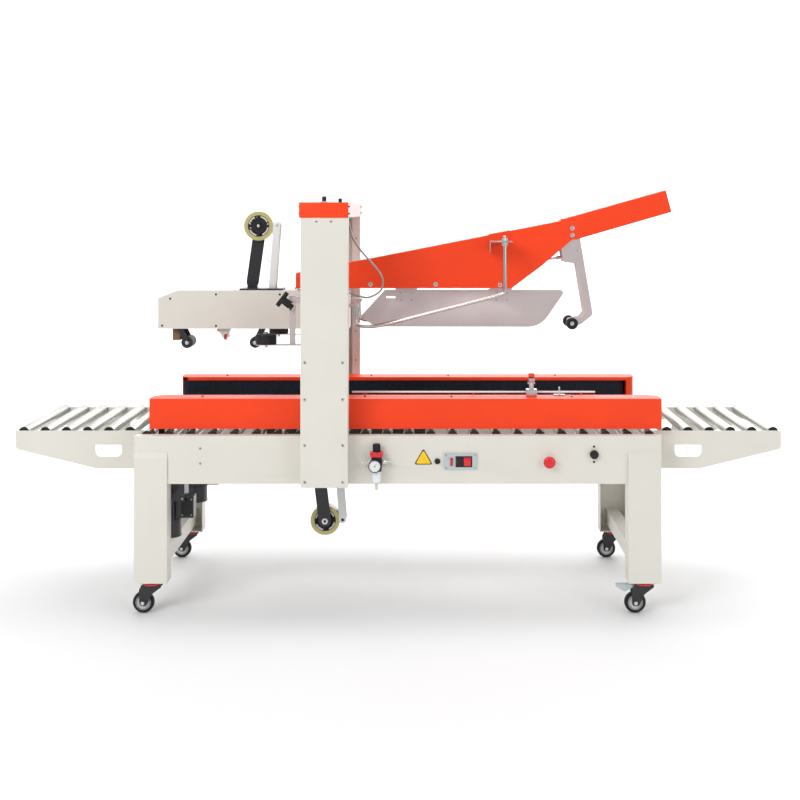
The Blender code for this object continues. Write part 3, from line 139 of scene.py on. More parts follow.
# Stainless steel tinted pink: the grey and the brushed grain are the steel's own, the pink is painted
# reflection of the red-orange covers.
STAINLESS_RED_REFLECTION = surface("brushed stainless with painted red reflection", (0.68, 0.60, 0.59), 0.34, 0.75, 500, 0.08, 0.03, (0.04, 1, 1))
CHROME = surface("polished chrome", (0.62, 0.60, 0.59), 0.16, 1.0, 300, 0.01, 0.03)
SPIRAL = surface("wound steel strip", (0.34, 0.32, 0.30), 0.32, 1.0, 300, 0.02, 0.03)
ZINC = surface("zinc roller tube", (0.46, 0.46, 0.43), 0.30, 0.85, 700, 0.10, 0.07, (1, 0.03, 1))
BRIGHT = surface("bright screw steel", (0.62, 0.61, 0.60), 0.28, 0.9, 600, 0.05, 0.05)
BLACK = surface("black enamel", (0.014, 0.014, 0.018), 0.36, bump=0.12, mottle=0.2, coat=0.15)
PLASTIC = surface("black moulded plastic", (0.018, 0.018, 0.020), 0.52, bump=0.2, mottle=0.15)
RUBBER = surface("belt rubber", (0.007, 0.010, 0.019), 0.66, bump=0.35, mottle=0.2)
TYRE = surface("caster tyre", (0.012, 0.012, 0.013), 0.58, bump=0.3, mottle=0.2)
HUB = surface("pale nylon", (0.66, 0.67, 0.66), 0.40, bump=0.05, mottle=0.03)
WHITE = surface("white enamel", (0.80, 0.80, 0.79), 0.35, bump=0.05, mottle=0.02)
RED = surface("red moulded plastic", (0.72, 0.008, 0.014), 0.30, bump=0.04, mottle=0.04, coat=0.3)
LAMP = surface("lamp lens", (0.45, 0.006, 0.006), 0.15, bump=0.02, mottle=0.1, coat=0.8)
YELLOW = surface("yellow sticker", (0.93, 0.60, 0.02), 0.40, bump=0.02, mottle=0.02)
GREY = surface("blue grey plate", (0.50, 0.56, 0.58), 0.40, 0.2, bump=0.05, mottle=0.03)
BROWN = surface("wiper bristle", (0.19, 0.115, 0.06), 0.85, grain=1500, bump=0.7, mottle=0.3,
                stretch=(1, 1, 0.05))
CLEAR = surface("clear bowl", (0.80, 0.82, 0.84), 0.12, bump=0.01, mottle=0.02, coat=0.5)
TAPE = wound_film("wound tape film", (0.60, 0.54, 0.22))


# ---------------------------------------------------------------- modelling helpers


def piece(name, mesh, finish):
    made = bpy.data.objects.new(name, mesh)
    bpy.context.scene.collection.objects.link(made)
    mesh.materials.clear()
    mesh.materials.append(finish)
    return made


def shaded(obj, angle=35):
    obj.data.shade_smooth()
    obj.data.set_sharp_from_angle(angle=math.radians(angle))
    return obj


def mesh_of(form, name):
    mesh = bpy.data.meshes.new(name)
    bmesh.ops.recalc_face_normals(form, faces=form.faces)
    form.to_mesh(mesh)
    form.free()
    return mesh


def soften(form, width, segments=2, sharp=30):
    """Round the edges of a form where its faces meet at more than the sharp angle."""
    edges = [e for e in form.edges if e.is_manifold and e.calc_face_angle(0) > math.radians(sharp)]
    bmesh.ops.bevel(form, geom=edges, offset=width, segments=segments, profile=0.6,
                    affect="EDGES", clamp_overlap=True)


def block(low, high, finish, soft=0.0008):
    low, high = Vector(low), Vector(high)
    form = bmesh.new()
    size = [abs(a - b) for a, b in zip(low, high)]
    place = Matrix.Translation((low + high) / 2) @ Matrix.Diagonal((*size, 1))
    bmesh.ops.create_cube(form, size=1, matrix=place)
    if soft:
        soften(form, min(soft, min(size) * 0.3))
    return shaded(piece("block", mesh_of(form, "block"), finish))


def rod(start, end, radius, finish, segments=32, end_radius=None, soft=0.0006):
    start, end = Vector(start), Vector(end)
    along = end - start
    turn = along.to_track_quat("Z", "Y").to_matrix().to_4x4()
    form = bmesh.new()
    bmesh.ops.create_cone(form, cap_ends=True, segments=segments, radius1=radius,
                          radius2=radius if end_radius is None else end_radius, depth=along.length,
                          matrix=Matrix.Translation((start + end) / 2) @ turn)
    if soft:
        soften(form, min(soft, radius * 0.2, along.length * 0.3), 2, 50 if segments > 8 else 30)
    return shaded(piece("rod", mesh_of(form, "rod"), finish), 40 if segments > 8 else 25)


def pin(x, z, y0, y1, radius, finish, segments=32, soft=0.0006):
    """A rod along Y between two places."""
    return rod((x, y0, z), (x, y1, z), radius, finish, segments, soft=soft)


def post(x, y, z0, z1, radius, finish, segments=32, soft=0.0006):
    """A rod along Z between two heights."""
    return rod((x, y, z0), (x, y, z1), radius, finish, segments, soft=soft)


def spread_round(obj, centre, angle, axis="Y"):
    """A shape made at the origin, turned about axis and set down at centre."""
    obj.data.transform(Matrix.Translation(centre) @ Matrix.Rotation(angle, 4, axis))
    return obj


def mirrored(profile):
    """A (radius, height) profile closed by its own mirror image below height zero."""
    return [*profile, *((radius, -height) for radius, height in reversed(profile))]


def turned(profile, centre, axis, finish, segments=48, name="turned"):
    """A (radius, height) profile turned about Z, then laid along axis at centre, its own origin."""
    form = bmesh.new()
    rings = []
    for radius, height in profile:
        ring = []
        for k in range(segments):
            angle = 2 * math.pi * k / segments
            ring.append(form.verts.new((radius * math.cos(angle), radius * math.sin(angle), height)))
        rings.append(ring)
    for low, high in zip(rings, [*rings[1:], rings[0]]):
        for k in range(segments):
            n = (k + 1) % segments
            form.faces.new((low[k], low[n], high[n], high[k]))
    turn = {"Z": Matrix(), "Y": Matrix.Rotation(math.radians(90), 4, "X"),
            "X": Matrix.Rotation(math.radians(90), 4, "Y")}[axis]
    bmesh.ops.transform(form, matrix=turn, verts=form.verts)
    made = shaded(piece(name, mesh_of(form, name), finish))
    made.location = centre
    return made


def plate(outline, low_y, high_y, finish, soft=0.0006, name="plate"):
    """An outline in X and Z, filled between two places along Y."""
    form = bmesh.new()
    face = form.faces.new([form.verts.new((x, low_y, z)) for x, z in outline])
    moved = bmesh.ops.extrude_face_region(form, geom=[face])["geom"]
    corners = [v for v in moved if isinstance(v, bmesh.types.BMVert)]
    bmesh.ops.translate(form, verts=corners, vec=(0, high_y - low_y, 0))
    if soft:
        soften(form, soft)
    return shaded(piece(name, mesh_of(form, name), finish))


def tube(points, radius, finish, name="tube", resolution=5):
    curve = bpy.data.curves.new(name, "CURVE")
    curve.dimensions = "3D"
    curve.bevel_depth = radius
    curve.bevel_resolution = resolution
    curve.use_fill_caps = True
    spline = curve.splines.new("POLY")
    spline.points.add(len(points) - 1)
    for point, place in zip(spline.points, points):
        point.co = (*place, 1)
    raw = bpy.data.objects.new(name, curve)
    bpy.context.scene.collection.objects.link(raw)
    bpy.context.view_layer.update()
    mesh = bpy.data.meshes.new_from_object(raw.evaluated_get(bpy.context.evaluated_depsgraph_get()))
    bpy.data.objects.remove(raw)
    form = bmesh.new()
    form.from_mesh(mesh)
    bmesh.ops.remove_doubles(form, verts=form.verts, dist=1e-5)
    return shaded(piece(name, mesh_of(form, name), finish), 50)


def joined(name, objects):
    """Several shapes as one piece, which keeps each one's material."""
    first = objects[0]
    with bpy.context.temp_override(active_object=first, selected_editable_objects=objects):
        bpy.ops.object.join()
    first.name = first.data.name = name
    return first


def refined(node, finish, body, slot, width=0.0010, sharp=30):
    """A CAD node's own shape with its edges rounded, which stands for the node."""
    form = bmesh.new()
    form.from_mesh(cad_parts[node].data)
    bmesh.ops.remove_doubles(form, verts=form.verts, dist=2e-5)
    bmesh.ops.dissolve_limit(form, angle_limit=math.radians(1.5), verts=form.verts, edges=form.edges)
    mesh = mesh_of(form, f"{node}_shell")
    made = piece(f"{node}_shell", mesh, finish)
    shaded(made, 30)
    edge = made.modifiers.new("edge", "BEVEL")
    edge.width = width
    edge.segments = 2
    edge.limit_method = "ANGLE"
    edge.angle_limit = math.radians(sharp)
    edge.use_clamp_overlap = True
    edge.harden_normals = True
    return stands_for(made, body, slot, node)


def stands_for(obj, body, slot, *nodes):
    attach(obj, body)
    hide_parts(*nodes)
    return obj


def rides(obj, body):
    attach(obj, body)
    return obj


def middle(node):
    low, high = (Vector(c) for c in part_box(node))
    return (low + high) / 2


def screw_head(place, axis, finish=BRIGHT, radius=SCREW_HEAD, height=0.003):
    """A domed head standing out of a face along axis; its hexagon socket is a black hexagon disc on the
    head, painted shade in place of a hole.
    """
    place, axis = Vector(place), Vector(axis)
    head = rod(place, place + axis * height, radius, finish, 20, end_radius=radius * 0.8)
    # The socket: a black hexagon disc just proud of the head, painted shade where the hole would be.
    socket_shade_foot, socket_shade_top = place + axis * (height - 0.0004), place + axis * (height + 0.0002)
    return [head, rod(socket_shade_foot, socket_shade_top, radius * 0.42, PLASTIC, 6, soft=0)]


def between(a, b, t):
    return a + (b - a) * t


# ---------------------------------------------------------------- sheet metal


def sheet_metal():
    """Every folded or welded part keeps its CAD shape and gets rounded edges and its paint."""
    for node in ("bed_frame", "outfeed_legs", "infeed_legs", "outfeed_rails", "infeed_rails"):
        refined(node, CREAM, "root", "cream_paint", 0.0014)
    for node in ("near_mast", "far_mast"):
        refined(node, CREAM, "root", "cream_paint", 0.0016)
    # The top beam's pink tint is painted red reflection on cream paint.
    refined("top_beam", CREAM_RED_REFLECTION, "root", "cream_paint", 0.0012)
    refined("head_box", CREAM, "head", "cream_paint", 0.0012)
    refined("flap_cover", ORANGE, "head", "orange_paint", 0.0014)
    refined("cover_extension", ORANGE, "head", "orange_paint", 0.0014)
    refined("guide_plate", STAINLESS_RED_REFLECTION, "head", "stainless", 0.0005)
    refined("head_carriage", STAINLESS_RED_REFLECTION, "head", "stainless", 0.0008)
    refined("upper_roll_arm", BLACK, "head", "black_paint", 0.0008)
    refined("lower_tape_head", BLACK, "root", "black_paint", 0.0010)
    refined("kicker_arm", STAINLESS_RED_REFLECTION, "kicker", "stainless", 0.0005)
    for side in ("near", "far"):
        refined(f"{side}_belt_cover", ORANGE, f"{side}_drive", "orange_paint", 0.0016)
        refined(f"{side}_gearmotor", BLACK, f"{side}_drive", "black_paint", 0.0020)
        for end in ("outfeed", "infeed"):
            refined(f"{side}_{end}_caster_fork", BLACK, f"{side}_{end}_fork", "black_paint", 0.0008)


# ---------------------------------------------------------------- rollers and casters


def fine_roller(low, high, radius):
    """A zinc tube between two places along Y, with black end caps set into it."""
    x, z = low[0], low[2]
    y0, y1 = low[1], high[1]
    cap = 0.006
    tube_piece = pin(x, z, y0 + cap, y1 - cap, radius, ZINC, 40, soft=0.001)
    caps = [
        pin(x, z, y0 + 0.001, y0 + cap, radius * 0.985, PLASTIC, 40, soft=0.0012),
        pin(x, z, y1 - cap, y1 - 0.001, radius * 0.985, PLASTIC, 40, soft=0.0012),
    ]
    return [tube_piece, *caps]


def extension_rollers():
    for end in ("outfeed", "infeed"):
        for i in range(ROLLERS_PER_TABLE):
            node = f"{end}_roller_{i + 1}"
            low, high = (Vector(c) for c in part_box(node))
            centre = (low + high) / 2
            radius = (high.z - low.z) / 2
            stub = 0.005
            a = Vector((centre.x, low.y + stub, centre.z))
            b = Vector((centre.x, high.y - stub, centre.z))
            shapes = fine_roller(a, b, radius)
            shapes.append(pin(centre.x, centre.z, low.y, high.y, 0.0058, BRIGHT, 6))
            stands_for(joined(f"{node}_tube", shapes), node, "zinc", node)


def bed_roller_places():
    """Centres along X of the bed rollers: evenly spaced between the two tables' first rollers."""
    first = middle("infeed_roller_1").x
    last = middle("outfeed_roller_1").x
    return [between(first, last, (i + 1) / (BED_ROLLERS + 1)) for i in range(BED_ROLLERS)]


def bed_rollers():
    low, high = (Vector(c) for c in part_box("bed_rollers"))
    head_low, head_high = (Vector(c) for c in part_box("lower_tape_head"))
    z = (low.z + high.z) / 2
    radius = (high.z - low.z) / 2
    split = head_high.y + 0.010
    shapes = []
    for x in bed_roller_places():
        beside = head_low.x - 0.03 < x < head_high.x + 0.03
        spans = ((low.y, -split), (split, high.y)) if beside else ((low.y, high.y),)
        for y0, y1 in spans:
            shapes += fine_roller(Vector((x, y0, z)), Vector((x, y1, z)), radius)
    for side in (NEAR, FAR):
        edge = side * (high.y - 0.0012)
        strip_end = (high.x - radius, edge - side * 0.002, z)
        shapes.append(block((low.x + radius, edge, z - 0.012), strip_end, CREAM))
    stands_for(joined("bed_roller_tubes", shapes), "root", "zinc", "bed_rollers")


def casters():
    for side in ("near", "far"):
        for end in ("outfeed", "infeed"):
            caster(side, end)


def caster(side, end):
    node = f"{side}_{end}_caster_wheel"
    low, high = (Vector(c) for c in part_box(node))
    centre = (low + high) / 2
    r, half = (high.z - low.z) / 2, (high.y - low.y) / 2
    tread = [(r * 0.70, half - 0.0015), (r * 0.86, half - 0.0005), (r * 0.95, half - 0.003),
             (r, half - 0.008)]
    rim = [(r * 0.18, half - 0.001), (r * 0.30, half - 0.001), (r * 0.34, half - 0.006),
           (r * 0.52, half - 0.006), (r * 0.56, half - 0.002), (r * 0.70, half - 0.002)]
    tyre = turned(mirrored(tread), centre, "Y", TYRE, 56)
    hub = turned(mirrored(rim), centre, "Y", HUB, 48)
    ring = turned([(r * 0.60, half - 0.0014), (r * 0.66, half - 0.0014), (r * 0.66, half - 0.0035),
                   (r * 0.60, half - 0.0035)], centre, "Y", BLACK, 48)
    body = f"{side}_{end}_wheel"
    stands_for(joined(f"{side}_{end}_wheel_tyre", [tyre, hub, ring]), body, "caster_tyre", node)
    swivel_x = centre.x + 0.030
    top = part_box(f"{side}_{end}_caster_fork")[1][2]
    dust_ring = [(0.0318, top - 0.0030), (0.0335, top - 0.0038), (0.0335, top - 0.0085),
                 (0.0318, top - 0.0095)]
    shapes = [turned(dust_ring, (swivel_x, centre.y, 0), "Z", RED, 48)]
    top_plate = block((swivel_x - 0.0375, centre.y - 0.030, top - 0.0022),
                      (swivel_x + 0.0375, centre.y + 0.030, top), BLACK, 0.0006)
    rides(joined(f"{side}_{end}_top_plate", [top_plate]), "root")
    bolt = half + 0.0045 + 0.003
    for way in (NEAR, FAR):
        y = centre.y + way * bolt
        shapes.append(pin(centre.x, centre.z, y, y + way * 0.0012, 0.0086, BLACK, 24))
        shapes.append(pin(centre.x, centre.z, y, y + way * 0.0034, 0.0068, HUB, 6))
    if (side, end) == ("near", "infeed"):
        shapes.append(brake_pedal(centre, 2 * r + 0.026))
    rides(joined(f"{side}_{end}_fork_trim", shapes), f"{side}_{end}_fork")


def brake_pedal(centre, top):
    """The grey brake pedal over the fork's own, a little proud of it."""
    x = centre.x
    outline = [
        (x - 0.0686, top + 0.0005), (x - 0.0666, top - 0.0084), (x - 0.0503, top - 0.0186),
        (x - 0.0360, top - 0.0247), (x - 0.0095, top - 0.0115), (x + 0.004, top - 0.0115),
        (x + 0.004, top + 0.0005),
    ]
    return plate(outline, centre.y - 0.0116, centre.y + 0.0116, GREY, 0.0016)


# ---------------------------------------------------------------- side belt drives


def ribbed_loop(node, side):
    """The belt's loop with ribs across it, round its two drums."""
    low, high = (Vector(c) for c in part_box(node))
    radius = (high.y - low.y) / 2
    y = (low.y + high.y) / 2
    start, end = low.x + radius, high.x - radius
    pitch = 0.0085
    depth = 0.0012

    def ring(inset):
        """Points in X and Y round the loop, the same number for any inset."""
        points = []
        straight = int((end - start) / pitch) * 4
        turn = int(math.pi * radius / pitch) * 4
        reach = radius - inset
        for x0, x1, drum, way in ((start, end, end, -1), (end, start, start, 1)):
            run_y = y + way * radius - way * inset
            points += [(between(x0, x1, k / straight), run_y) for k in range(straight)]
            for k in range(turn):
                a = way * math.pi / 2 + math.pi * k / turn
                points.append((drum + reach * math.cos(a), y + reach * math.sin(a)))
        return points

    outer, groove, inner = ring(0), ring(depth), ring(0.005)
    form = bmesh.new()
    loops = []
    for z in (low.z, high.z):
        face = []
        for k, (rib, valley) in enumerate(zip(outer, groove)):
            face.append(form.verts.new((*(rib if k % 4 in (0, 1) else valley), z)))
        back = [form.verts.new((*p, z)) for p in inner]
        loops.append((face, back))
    count = len(outer)
    (f0, b0), (f1, b1) = loops
    for k in range(count):
        n = (k + 1) % count
        form.faces.new((f0[k], f0[n], f1[n], f1[k]))
        form.faces.new((b0[n], b0[k], b1[k], b1[n]))
        form.faces.new((f1[k], f1[n], b1[n], b1[k]))
        form.faces.new((f0[n], f0[k], b0[k], b0[n]))
    made = shaded(piece(f"{node}_ribs", mesh_of(form, f"{node}_ribs"), RUBBER), 20)
    return stands_for(made, f"{side}_drive", "black_rubber", node)


def drives():
    for side, way in SIDES:
        ribbed_loop(f"{side}_side_belt", side)
        cover_trim(side, way)
        motor_trim(side)


def cover_trim(side, way):
    """Screws along a cover's top, and on the near one the trip bar and its valve."""
    low, high = (Vector(c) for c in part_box(f"{side}_belt_cover"))
    top = 0.749
    shapes = []
    for x in (-0.70, -0.12, 0.19, 0.62):
        shapes += screw_head((x, way * 0.288, top), (0, 0, 1), PLASTIC, 0.004, 0.004)
    if side == "near":
        bar_y, bar_z = -0.245, 0.760
        shapes.append(rod((-0.1682, bar_y, bar_z), (0.7092, bar_y, bar_z), 0.0037, WHITE, 16))
        shapes.append(block((0.560, -0.262, top + 0.0002), (0.600, -0.236, top + 0.003), BRIGHT))
        shapes.append(post(0.580, bar_y, top, 0.778, 0.0032, BRIGHT, 12))
        x, y = 0.477, -0.275
        shapes += [
            block((x - 0.0195, y - 0.0125, top + 0.0003), (x + 0.0195, y + 0.0125, 0.7755), BRIGHT, 0.0015),
            block((x - 0.013, y - 0.0132, 0.754), (x + 0.013, y - 0.0120, 0.771), GREY, 0.0004),
            post(x, y, 0.7755, 0.790, 0.0095, BRIGHT, 6),
            post(x, y, 0.790, 0.806, 0.0080, CHROME, 24),
            rod((x - 0.013, y, 0.796), (x + 0.013, y, 0.796), 0.0042, BRIGHT, 16),
            turned([(0.0082, 0.800), (0.0125, 0.803), (0.0125, 0.814), (0.0082, 0.817)],
                   (x, y, 0), "Z", CHROME, 24),
            rod((x, y, 0.815), (x, y, 0.8312), 0.0112, PLASTIC, 28, end_radius=0.0095),
        ]
    rides(joined(f"{side}_cover_screws", shapes), f"{side}_drive")


def motor_trim(side):
    """Cooling ribs round the motor, the fan cowl's rims and a black end disc, gearbox bolts and a blank
    plate.
    """
    low, high = (Vector(c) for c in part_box(f"{side}_gearmotor"))
    radius, depth = 0.044, 0.040
    x, y = low.x + radius + 0.004, (low.y + high.y) / 2
    shapes = []
    for k in range(24):
        rib = block((-0.0011, radius - 0.0005, 0.316), (0.0011, radius + 0.0035, 0.377), BLACK, 0)
        shapes.append(spread_round(rib, (x, y, 0), 2 * math.pi * k / 24, "Z"))
    for z in (0.2520, 0.3110):
        band = [(0.0452, z - 0.0015), (0.0466, z - 0.0010), (0.0466, z + 0.0010), (0.0452, z + 0.0015)]
        shapes.append(turned(band, (x, y, 0), "Z", BLACK, 48))
    shapes.append(turned([(0.0005, 0.2488), (0.0340, 0.2488), (0.0360, 0.2496), (0.0005, 0.2496)],
                         (x, y, 0), "Z", PLASTIC, 40))
    face = y - depth
    shapes.append(block((x - 0.040, face - 0.0008, 0.386), (x - 0.016, face + 0.0004, 0.436), HUB, 0.0004))
    for px, pz in ((x, 0.390), (x + 0.056, 0.390), (x, 0.446), (x + 0.056, 0.446)):
        shapes += screw_head((px, face, pz), (0, -1, 0), BRIGHT, 0.0042, 0.003)
    lid_low = (x + radius + 0.006, y - 0.0272, 0.324)
    shapes.append(block(lid_low, (x + radius + 0.046, y - 0.0252, 0.389), PLASTIC, 0.0008))
    for px in (0.010, 0.042):
        for pz in (0.329, 0.384):
            shapes += screw_head((x + radius + px, y - 0.0272, pz), (0, -1, 0), BRIGHT, 0.0026, 0.0014)
    rides(joined(f"{side}_motor_ribs", shapes), f"{side}_drive")


# ---------------------------------------------------------------- masts and head


def masts():
    """Screws on the masts' faces, the red end caps and black screw ends of the top beam."""
    for side, way in SIDES:
        face = way * MAST_FACE_Y
        shapes = []
        for z in (0.890, 0.763, 0.6045, 0.478):
            for x in (-0.3194, -0.1887):
                shapes += screw_head((x, face - way * 0.0002, z), (0, way, 0), BRIGHT, 0.0058, 0.0032)
        for x in (-0.280, -0.2287):
            shapes += screw_head((x, face - way * 0.0002, 1.377), (0, way, 0), BRIGHT, 0.0050, 0.0030)
        inner = way * (0.3843 - 0.0001)
        for z in (0.68, 0.80, 0.92, 1.02, 1.20, 1.30):
            shapes += screw_head((-0.187, inner, z), (0, -way, 0), BRIGHT, 0.0045, 0.0025)
        rides(joined(f"{side}_mast_screws", shapes), "root")
    low, high = (Vector(c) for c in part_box("top_beam"))
    foot, top = low.z, 1.443
    shapes = []
    for way in (NEAR, FAR):
        face = way * high.y
        shapes.append(block((low.x - 0.0012, face + way * 0.0016, foot - 0.0002),
                            (high.x + 0.0012, face - way * 0.0006, top + 0.0008), ORANGE, 0.0008))
        for z in (foot + 0.014, top - 0.014):
            for x, out in ((low.x, -1), (high.x, 1)):
                shapes += screw_head((x, face - way * 0.022, z), (out, 0, 0), PLASTIC, 0.0035, 0.005)
        y = way * 0.417
        shapes.append(post(-0.2545, y, top - 0.001, 1.4645, 0.0079, PLASTIC, 28, soft=0.0012))
        shapes.append(turned([(0.0082, top), (0.0135, top), (0.0135, top + 0.004), (0.0082, top + 0.005)],
                             (-0.2545, y, 0), "Z", BRIGHT, 28))
    rides(joined("beam_caps", shapes), "root")


def head_trim():
    """Screws on the head's sides, and the colours of its wiper and knife guard."""
    shapes = []
    for way in (NEAR, FAR):
        for x, z in ((-0.862, 1.083), (-0.690, 1.099), (-0.690, 0.981), (-0.892, 0.982), (-0.45, 1.099)):
            shapes += screw_head((x, way * HEAD_FACE_Y, z), (0, way, 0), PLASTIC, 0.0042, 0.0022)
    shapes.append(block((-0.8584, -0.0304, 0.9246), (-0.8286, 0.0304, 0.9690), BROWN, 0.0015))
    rides(joined("head_screws", shapes), "head")
    teeth = []
    for k in range(9):
        x = -0.690 + k * 0.0055
        teeth.append(pin(x, 0.962 - k * 0.003, -0.0308, 0.0308, 0.0035, STAINLESS_RED_REFLECTION, 10))
    teeth.append(block((-0.664, -0.0312, 0.922 + 0.004), (-0.652, 0.0312, 0.948), LAMP, 0.001))
    rides(joined("knife_teeth", teeth), "head")


def press_roller(node, body, x, z, radius):
    """A dark roller with a stepped end and bright axle ends, on its two arms."""
    shapes = []
    inside = 0.0385
    bands = [(0.006, inside), (radius * 0.55, inside), (radius * 0.62, inside - 0.003),
             (radius * 0.86, inside - 0.003), (radius * 0.92, inside), (radius + 0.0002, inside - 0.001)]
    shapes.append(turned(mirrored(bands), (x, 0, z), "Y", PLASTIC, 48))
    for way in (NEAR, FAR):
        shapes.append(pin(x, z, way * 0.0430, way * 0.0462, 0.0068, BRIGHT, 6))
        shapes.append(pin(x, z, way * 0.0384, way * 0.0404, 0.0090, HUB, 24))
    rides(joined(f"{body}_face", shapes), body)
    refined(node, BLACK, body, "black_rubber", 0.0006)


def tape_roll(node, body):
    """Wound tape on its paper core, round a black hub with a toothed rim."""
    low, high = (Vector(c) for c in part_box(node))
    centre = (low + high) / 2
    r, half = (high.z - low.z) / 2, 0.024
    film = [(0.0405, half), (r - 0.0008, half), (r, half - 0.0008)]
    wound = turned(mirrored(film), centre, "Y", TAPE, 96)
    core = turned(mirrored([(0.0375, half + 0.0004), (0.0405, half + 0.0004)]), centre, "Y", PLASTIC, 72)
    spool = [(0.0076, half + 0.001), (0.012, half + 0.001), (0.014, half - 0.004), (0.026, half - 0.004),
             (0.028, half - 0.001), (0.0300, half - 0.001)]
    hub = turned(mirrored(spool), centre, "Y", PLASTIC, 56)
    shapes = [wound, core, hub]
    for k in range(16):
        wide = 0.0026 if k % 4 else 0.0050
        fin = block((-wide, 0.0006 - half, 0.0295), (wide, half - 0.0006, 0.0374), PLASTIC, 0.0004)
        shapes.append(spread_round(fin, centre, 2 * math.pi * k / 16))
    for k in range(28):
        if k % 7 > 3:
            continue
        arc = block((-0.0042, -half - 0.0008, 0.0335), (0.0042, half + 0.0008, 0.0378), WHITE, 0)
        shapes.append(spread_round(arc, centre, 2 * math.pi * k / 28 + 0.35))
    return stands_for(joined(f"{node}_wound", shapes), body, "tape_film", node)


def tape_paths():
    """White guard arms over the black casting's, the tension rods and the roll pins' nuts."""
    shapes = []
    for way in (NEAR, FAR):
        y0, y1 = way * GUARD_INNER_Y, way * GUARD_OUTER_Y
        shapes.append(arm_cover((-0.482, 1.1293), (-0.465, 1.359), 0.0134, y0, y1))
    shapes.append(pin(-0.465, 1.359, -0.0236, 0.0236, 0.0104, WHITE, 28))
    shapes.append(pin(-0.465, 1.359, -0.0290, -0.0270, 0.0065, BRIGHT, 6))
    shapes.append(rod((-0.514, 0.0340, 1.236), (-0.474, 0.0120, 1.198), 0.0024, BRIGHT, 12))
    shapes.append(pin(-0.534, 1.356, -0.0295, -0.0250, 0.0060, BRIGHT, 6))
    rides(joined("upper_guard_arm", shapes), "head")
    shapes = []
    for way in (NEAR, FAR):
        y0, y1 = way * GUARD_INNER_Y, way * GUARD_OUTER_Y
        shapes.append(arm_cover((-0.235, 0.490), (-0.216, 0.245), 0.0134, y0, y1))
    shapes.append(pin(-0.216, 0.245, -0.0236, 0.0236, 0.0104, WHITE, 28))
    shapes.append(pin(-0.216, 0.245, -0.0290, -0.0270, 0.0060, PLASTIC, 6))
    nut = [(0.006, 0.0005), (0.0125, 0.0005), (0.0125, 0.003), (0.0105, 0.004), (0.006, 0.004)]
    shapes.append(turned(nut, (-0.282, -0.0380, 0.242), "Y", WHITE, 6))
    rides(joined("lower_guard_arm", shapes), "root")


def arm_cover(start, end, half, y0, y1):
    """A flat white bar with half-round ends."""
    start, end = Vector(start), Vector(end)
    along = (end - start).angle_signed(Vector((1, 0)))
    points = []
    for place, turn in ((end, along), (start, along + math.pi)):
        for k in range(13):
            a = turn - math.pi / 2 + math.pi * k / 12
            points.append((place.x + half * math.cos(a), place.y + half * math.sin(a)))
    return plate(points, y0, y1, WHITE, 0.0005)


# ---------------------------------------------------------------- flap folding


def smooth_path(points, steps):
    """Points on a smooth curve that passes through every one given."""
    points = [Vector(p) for p in points]
    ends = [points[0] * 2 - points[1], *points, points[-1] * 2 - points[-2]]
    path = []
    for a, b, c, d in zip(ends, ends[1:], ends[2:], ends[3:]):
        for k in range(steps):
            t = k / steps
            path.append(0.5 * (2 * b + (c - a) * t + (2 * a - 5 * b + 4 * c - d) * t * t
                               + (3 * b - a - 3 * c + d) * t ** 3))
    return [*path, points[-1]]


def cover_bolts():
    """Button-head bolts through the flap cover and its extension, on both sides."""
    shapes = []
    for way in (NEAR, FAR):
        face = way * FLAP_FACE_Y
        for x, z in ((-0.110, 1.137), (0.136, 1.137), (0.378, 1.134)):
            shapes.append(pin(x, z, face, face + way * 0.0010, 0.0085, BRIGHT, 28, soft=0.0003))
            shapes += screw_head((x, face + way * 0.0010, z), (0, way, 0), BRIGHT, 0.0062, 0.0042)
        for x, z in ((0.650, 1.348), (0.650, 1.322)):
            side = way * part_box("cover_extension")[1][1]
            shapes.append(pin(x, z, side, side + way * 0.0012, 0.0086, BRIGHT, 28, soft=0.0003))
            shapes.append(pin(x, z, side + way * 0.0012, side + way * 0.0072, 0.0072, BRIGHT, 6))
            shapes.append(pin(x, z, side + way * 0.0072, side + way * 0.0092, 0.0042, ZINC, 18))
    rides(joined("cover_bolts", shapes), "head")


def cover_lap():
    """The orange lap plates that close the corner between the cover and its extension."""
    outline = [(0.607, 1.3770), (0.640, 1.3900), (0.672, 1.3560), (0.664, 1.3085), (0.643, 1.3020),
               (0.600, 1.3200)]
    shapes = [plate(outline, way * 0.0464, way * 0.0504, ORANGE, 0.0004) for way in (NEAR, FAR)]
    rides(joined("cover_lap", shapes), "head")


def guide_bar_path(side):
    """The bent bar's centre line: down from its bracket, back under the cover, and up to the carriage."""
    front, rear = side * BAR_FRONT_Y, side * BAR_REAR_Y
    return [
        (BAR_HANGER_X, front, 1.314), (BAR_HANGER_X, front, 1.135),
        (0.3845, front, 1.112), (0.355, front * 0.985, 1.101),
        (-0.060, rear * 1.04, 0.992), (-0.095, rear, 0.986), (-0.140, rear, 0.987),
        (-0.158, rear, 0.995), (-0.1605, rear, 1.012), (-0.1615, rear, 1.0594),
    ]


def rounded_path(points, radius, steps=7):
    """The path with its inner corners rounded by arcs of about the given reach."""
    points = [Vector(p) for p in points]
    path = [points[0]]
    for back, here, ahead in zip(points, points[1:], points[2:]):
        reach = min(radius, (back - here).length * 0.48, (ahead - here).length * 0.48)
        start = here + (back - here).normalized() * reach
        end = here + (ahead - here).normalized() * reach
        for k in range(steps + 1):
            t = k / steps
            path.append(start * (1 - t) ** 2 + here * 2 * t * (1 - t) + end * t * t)
    return [*path, points[-1]]


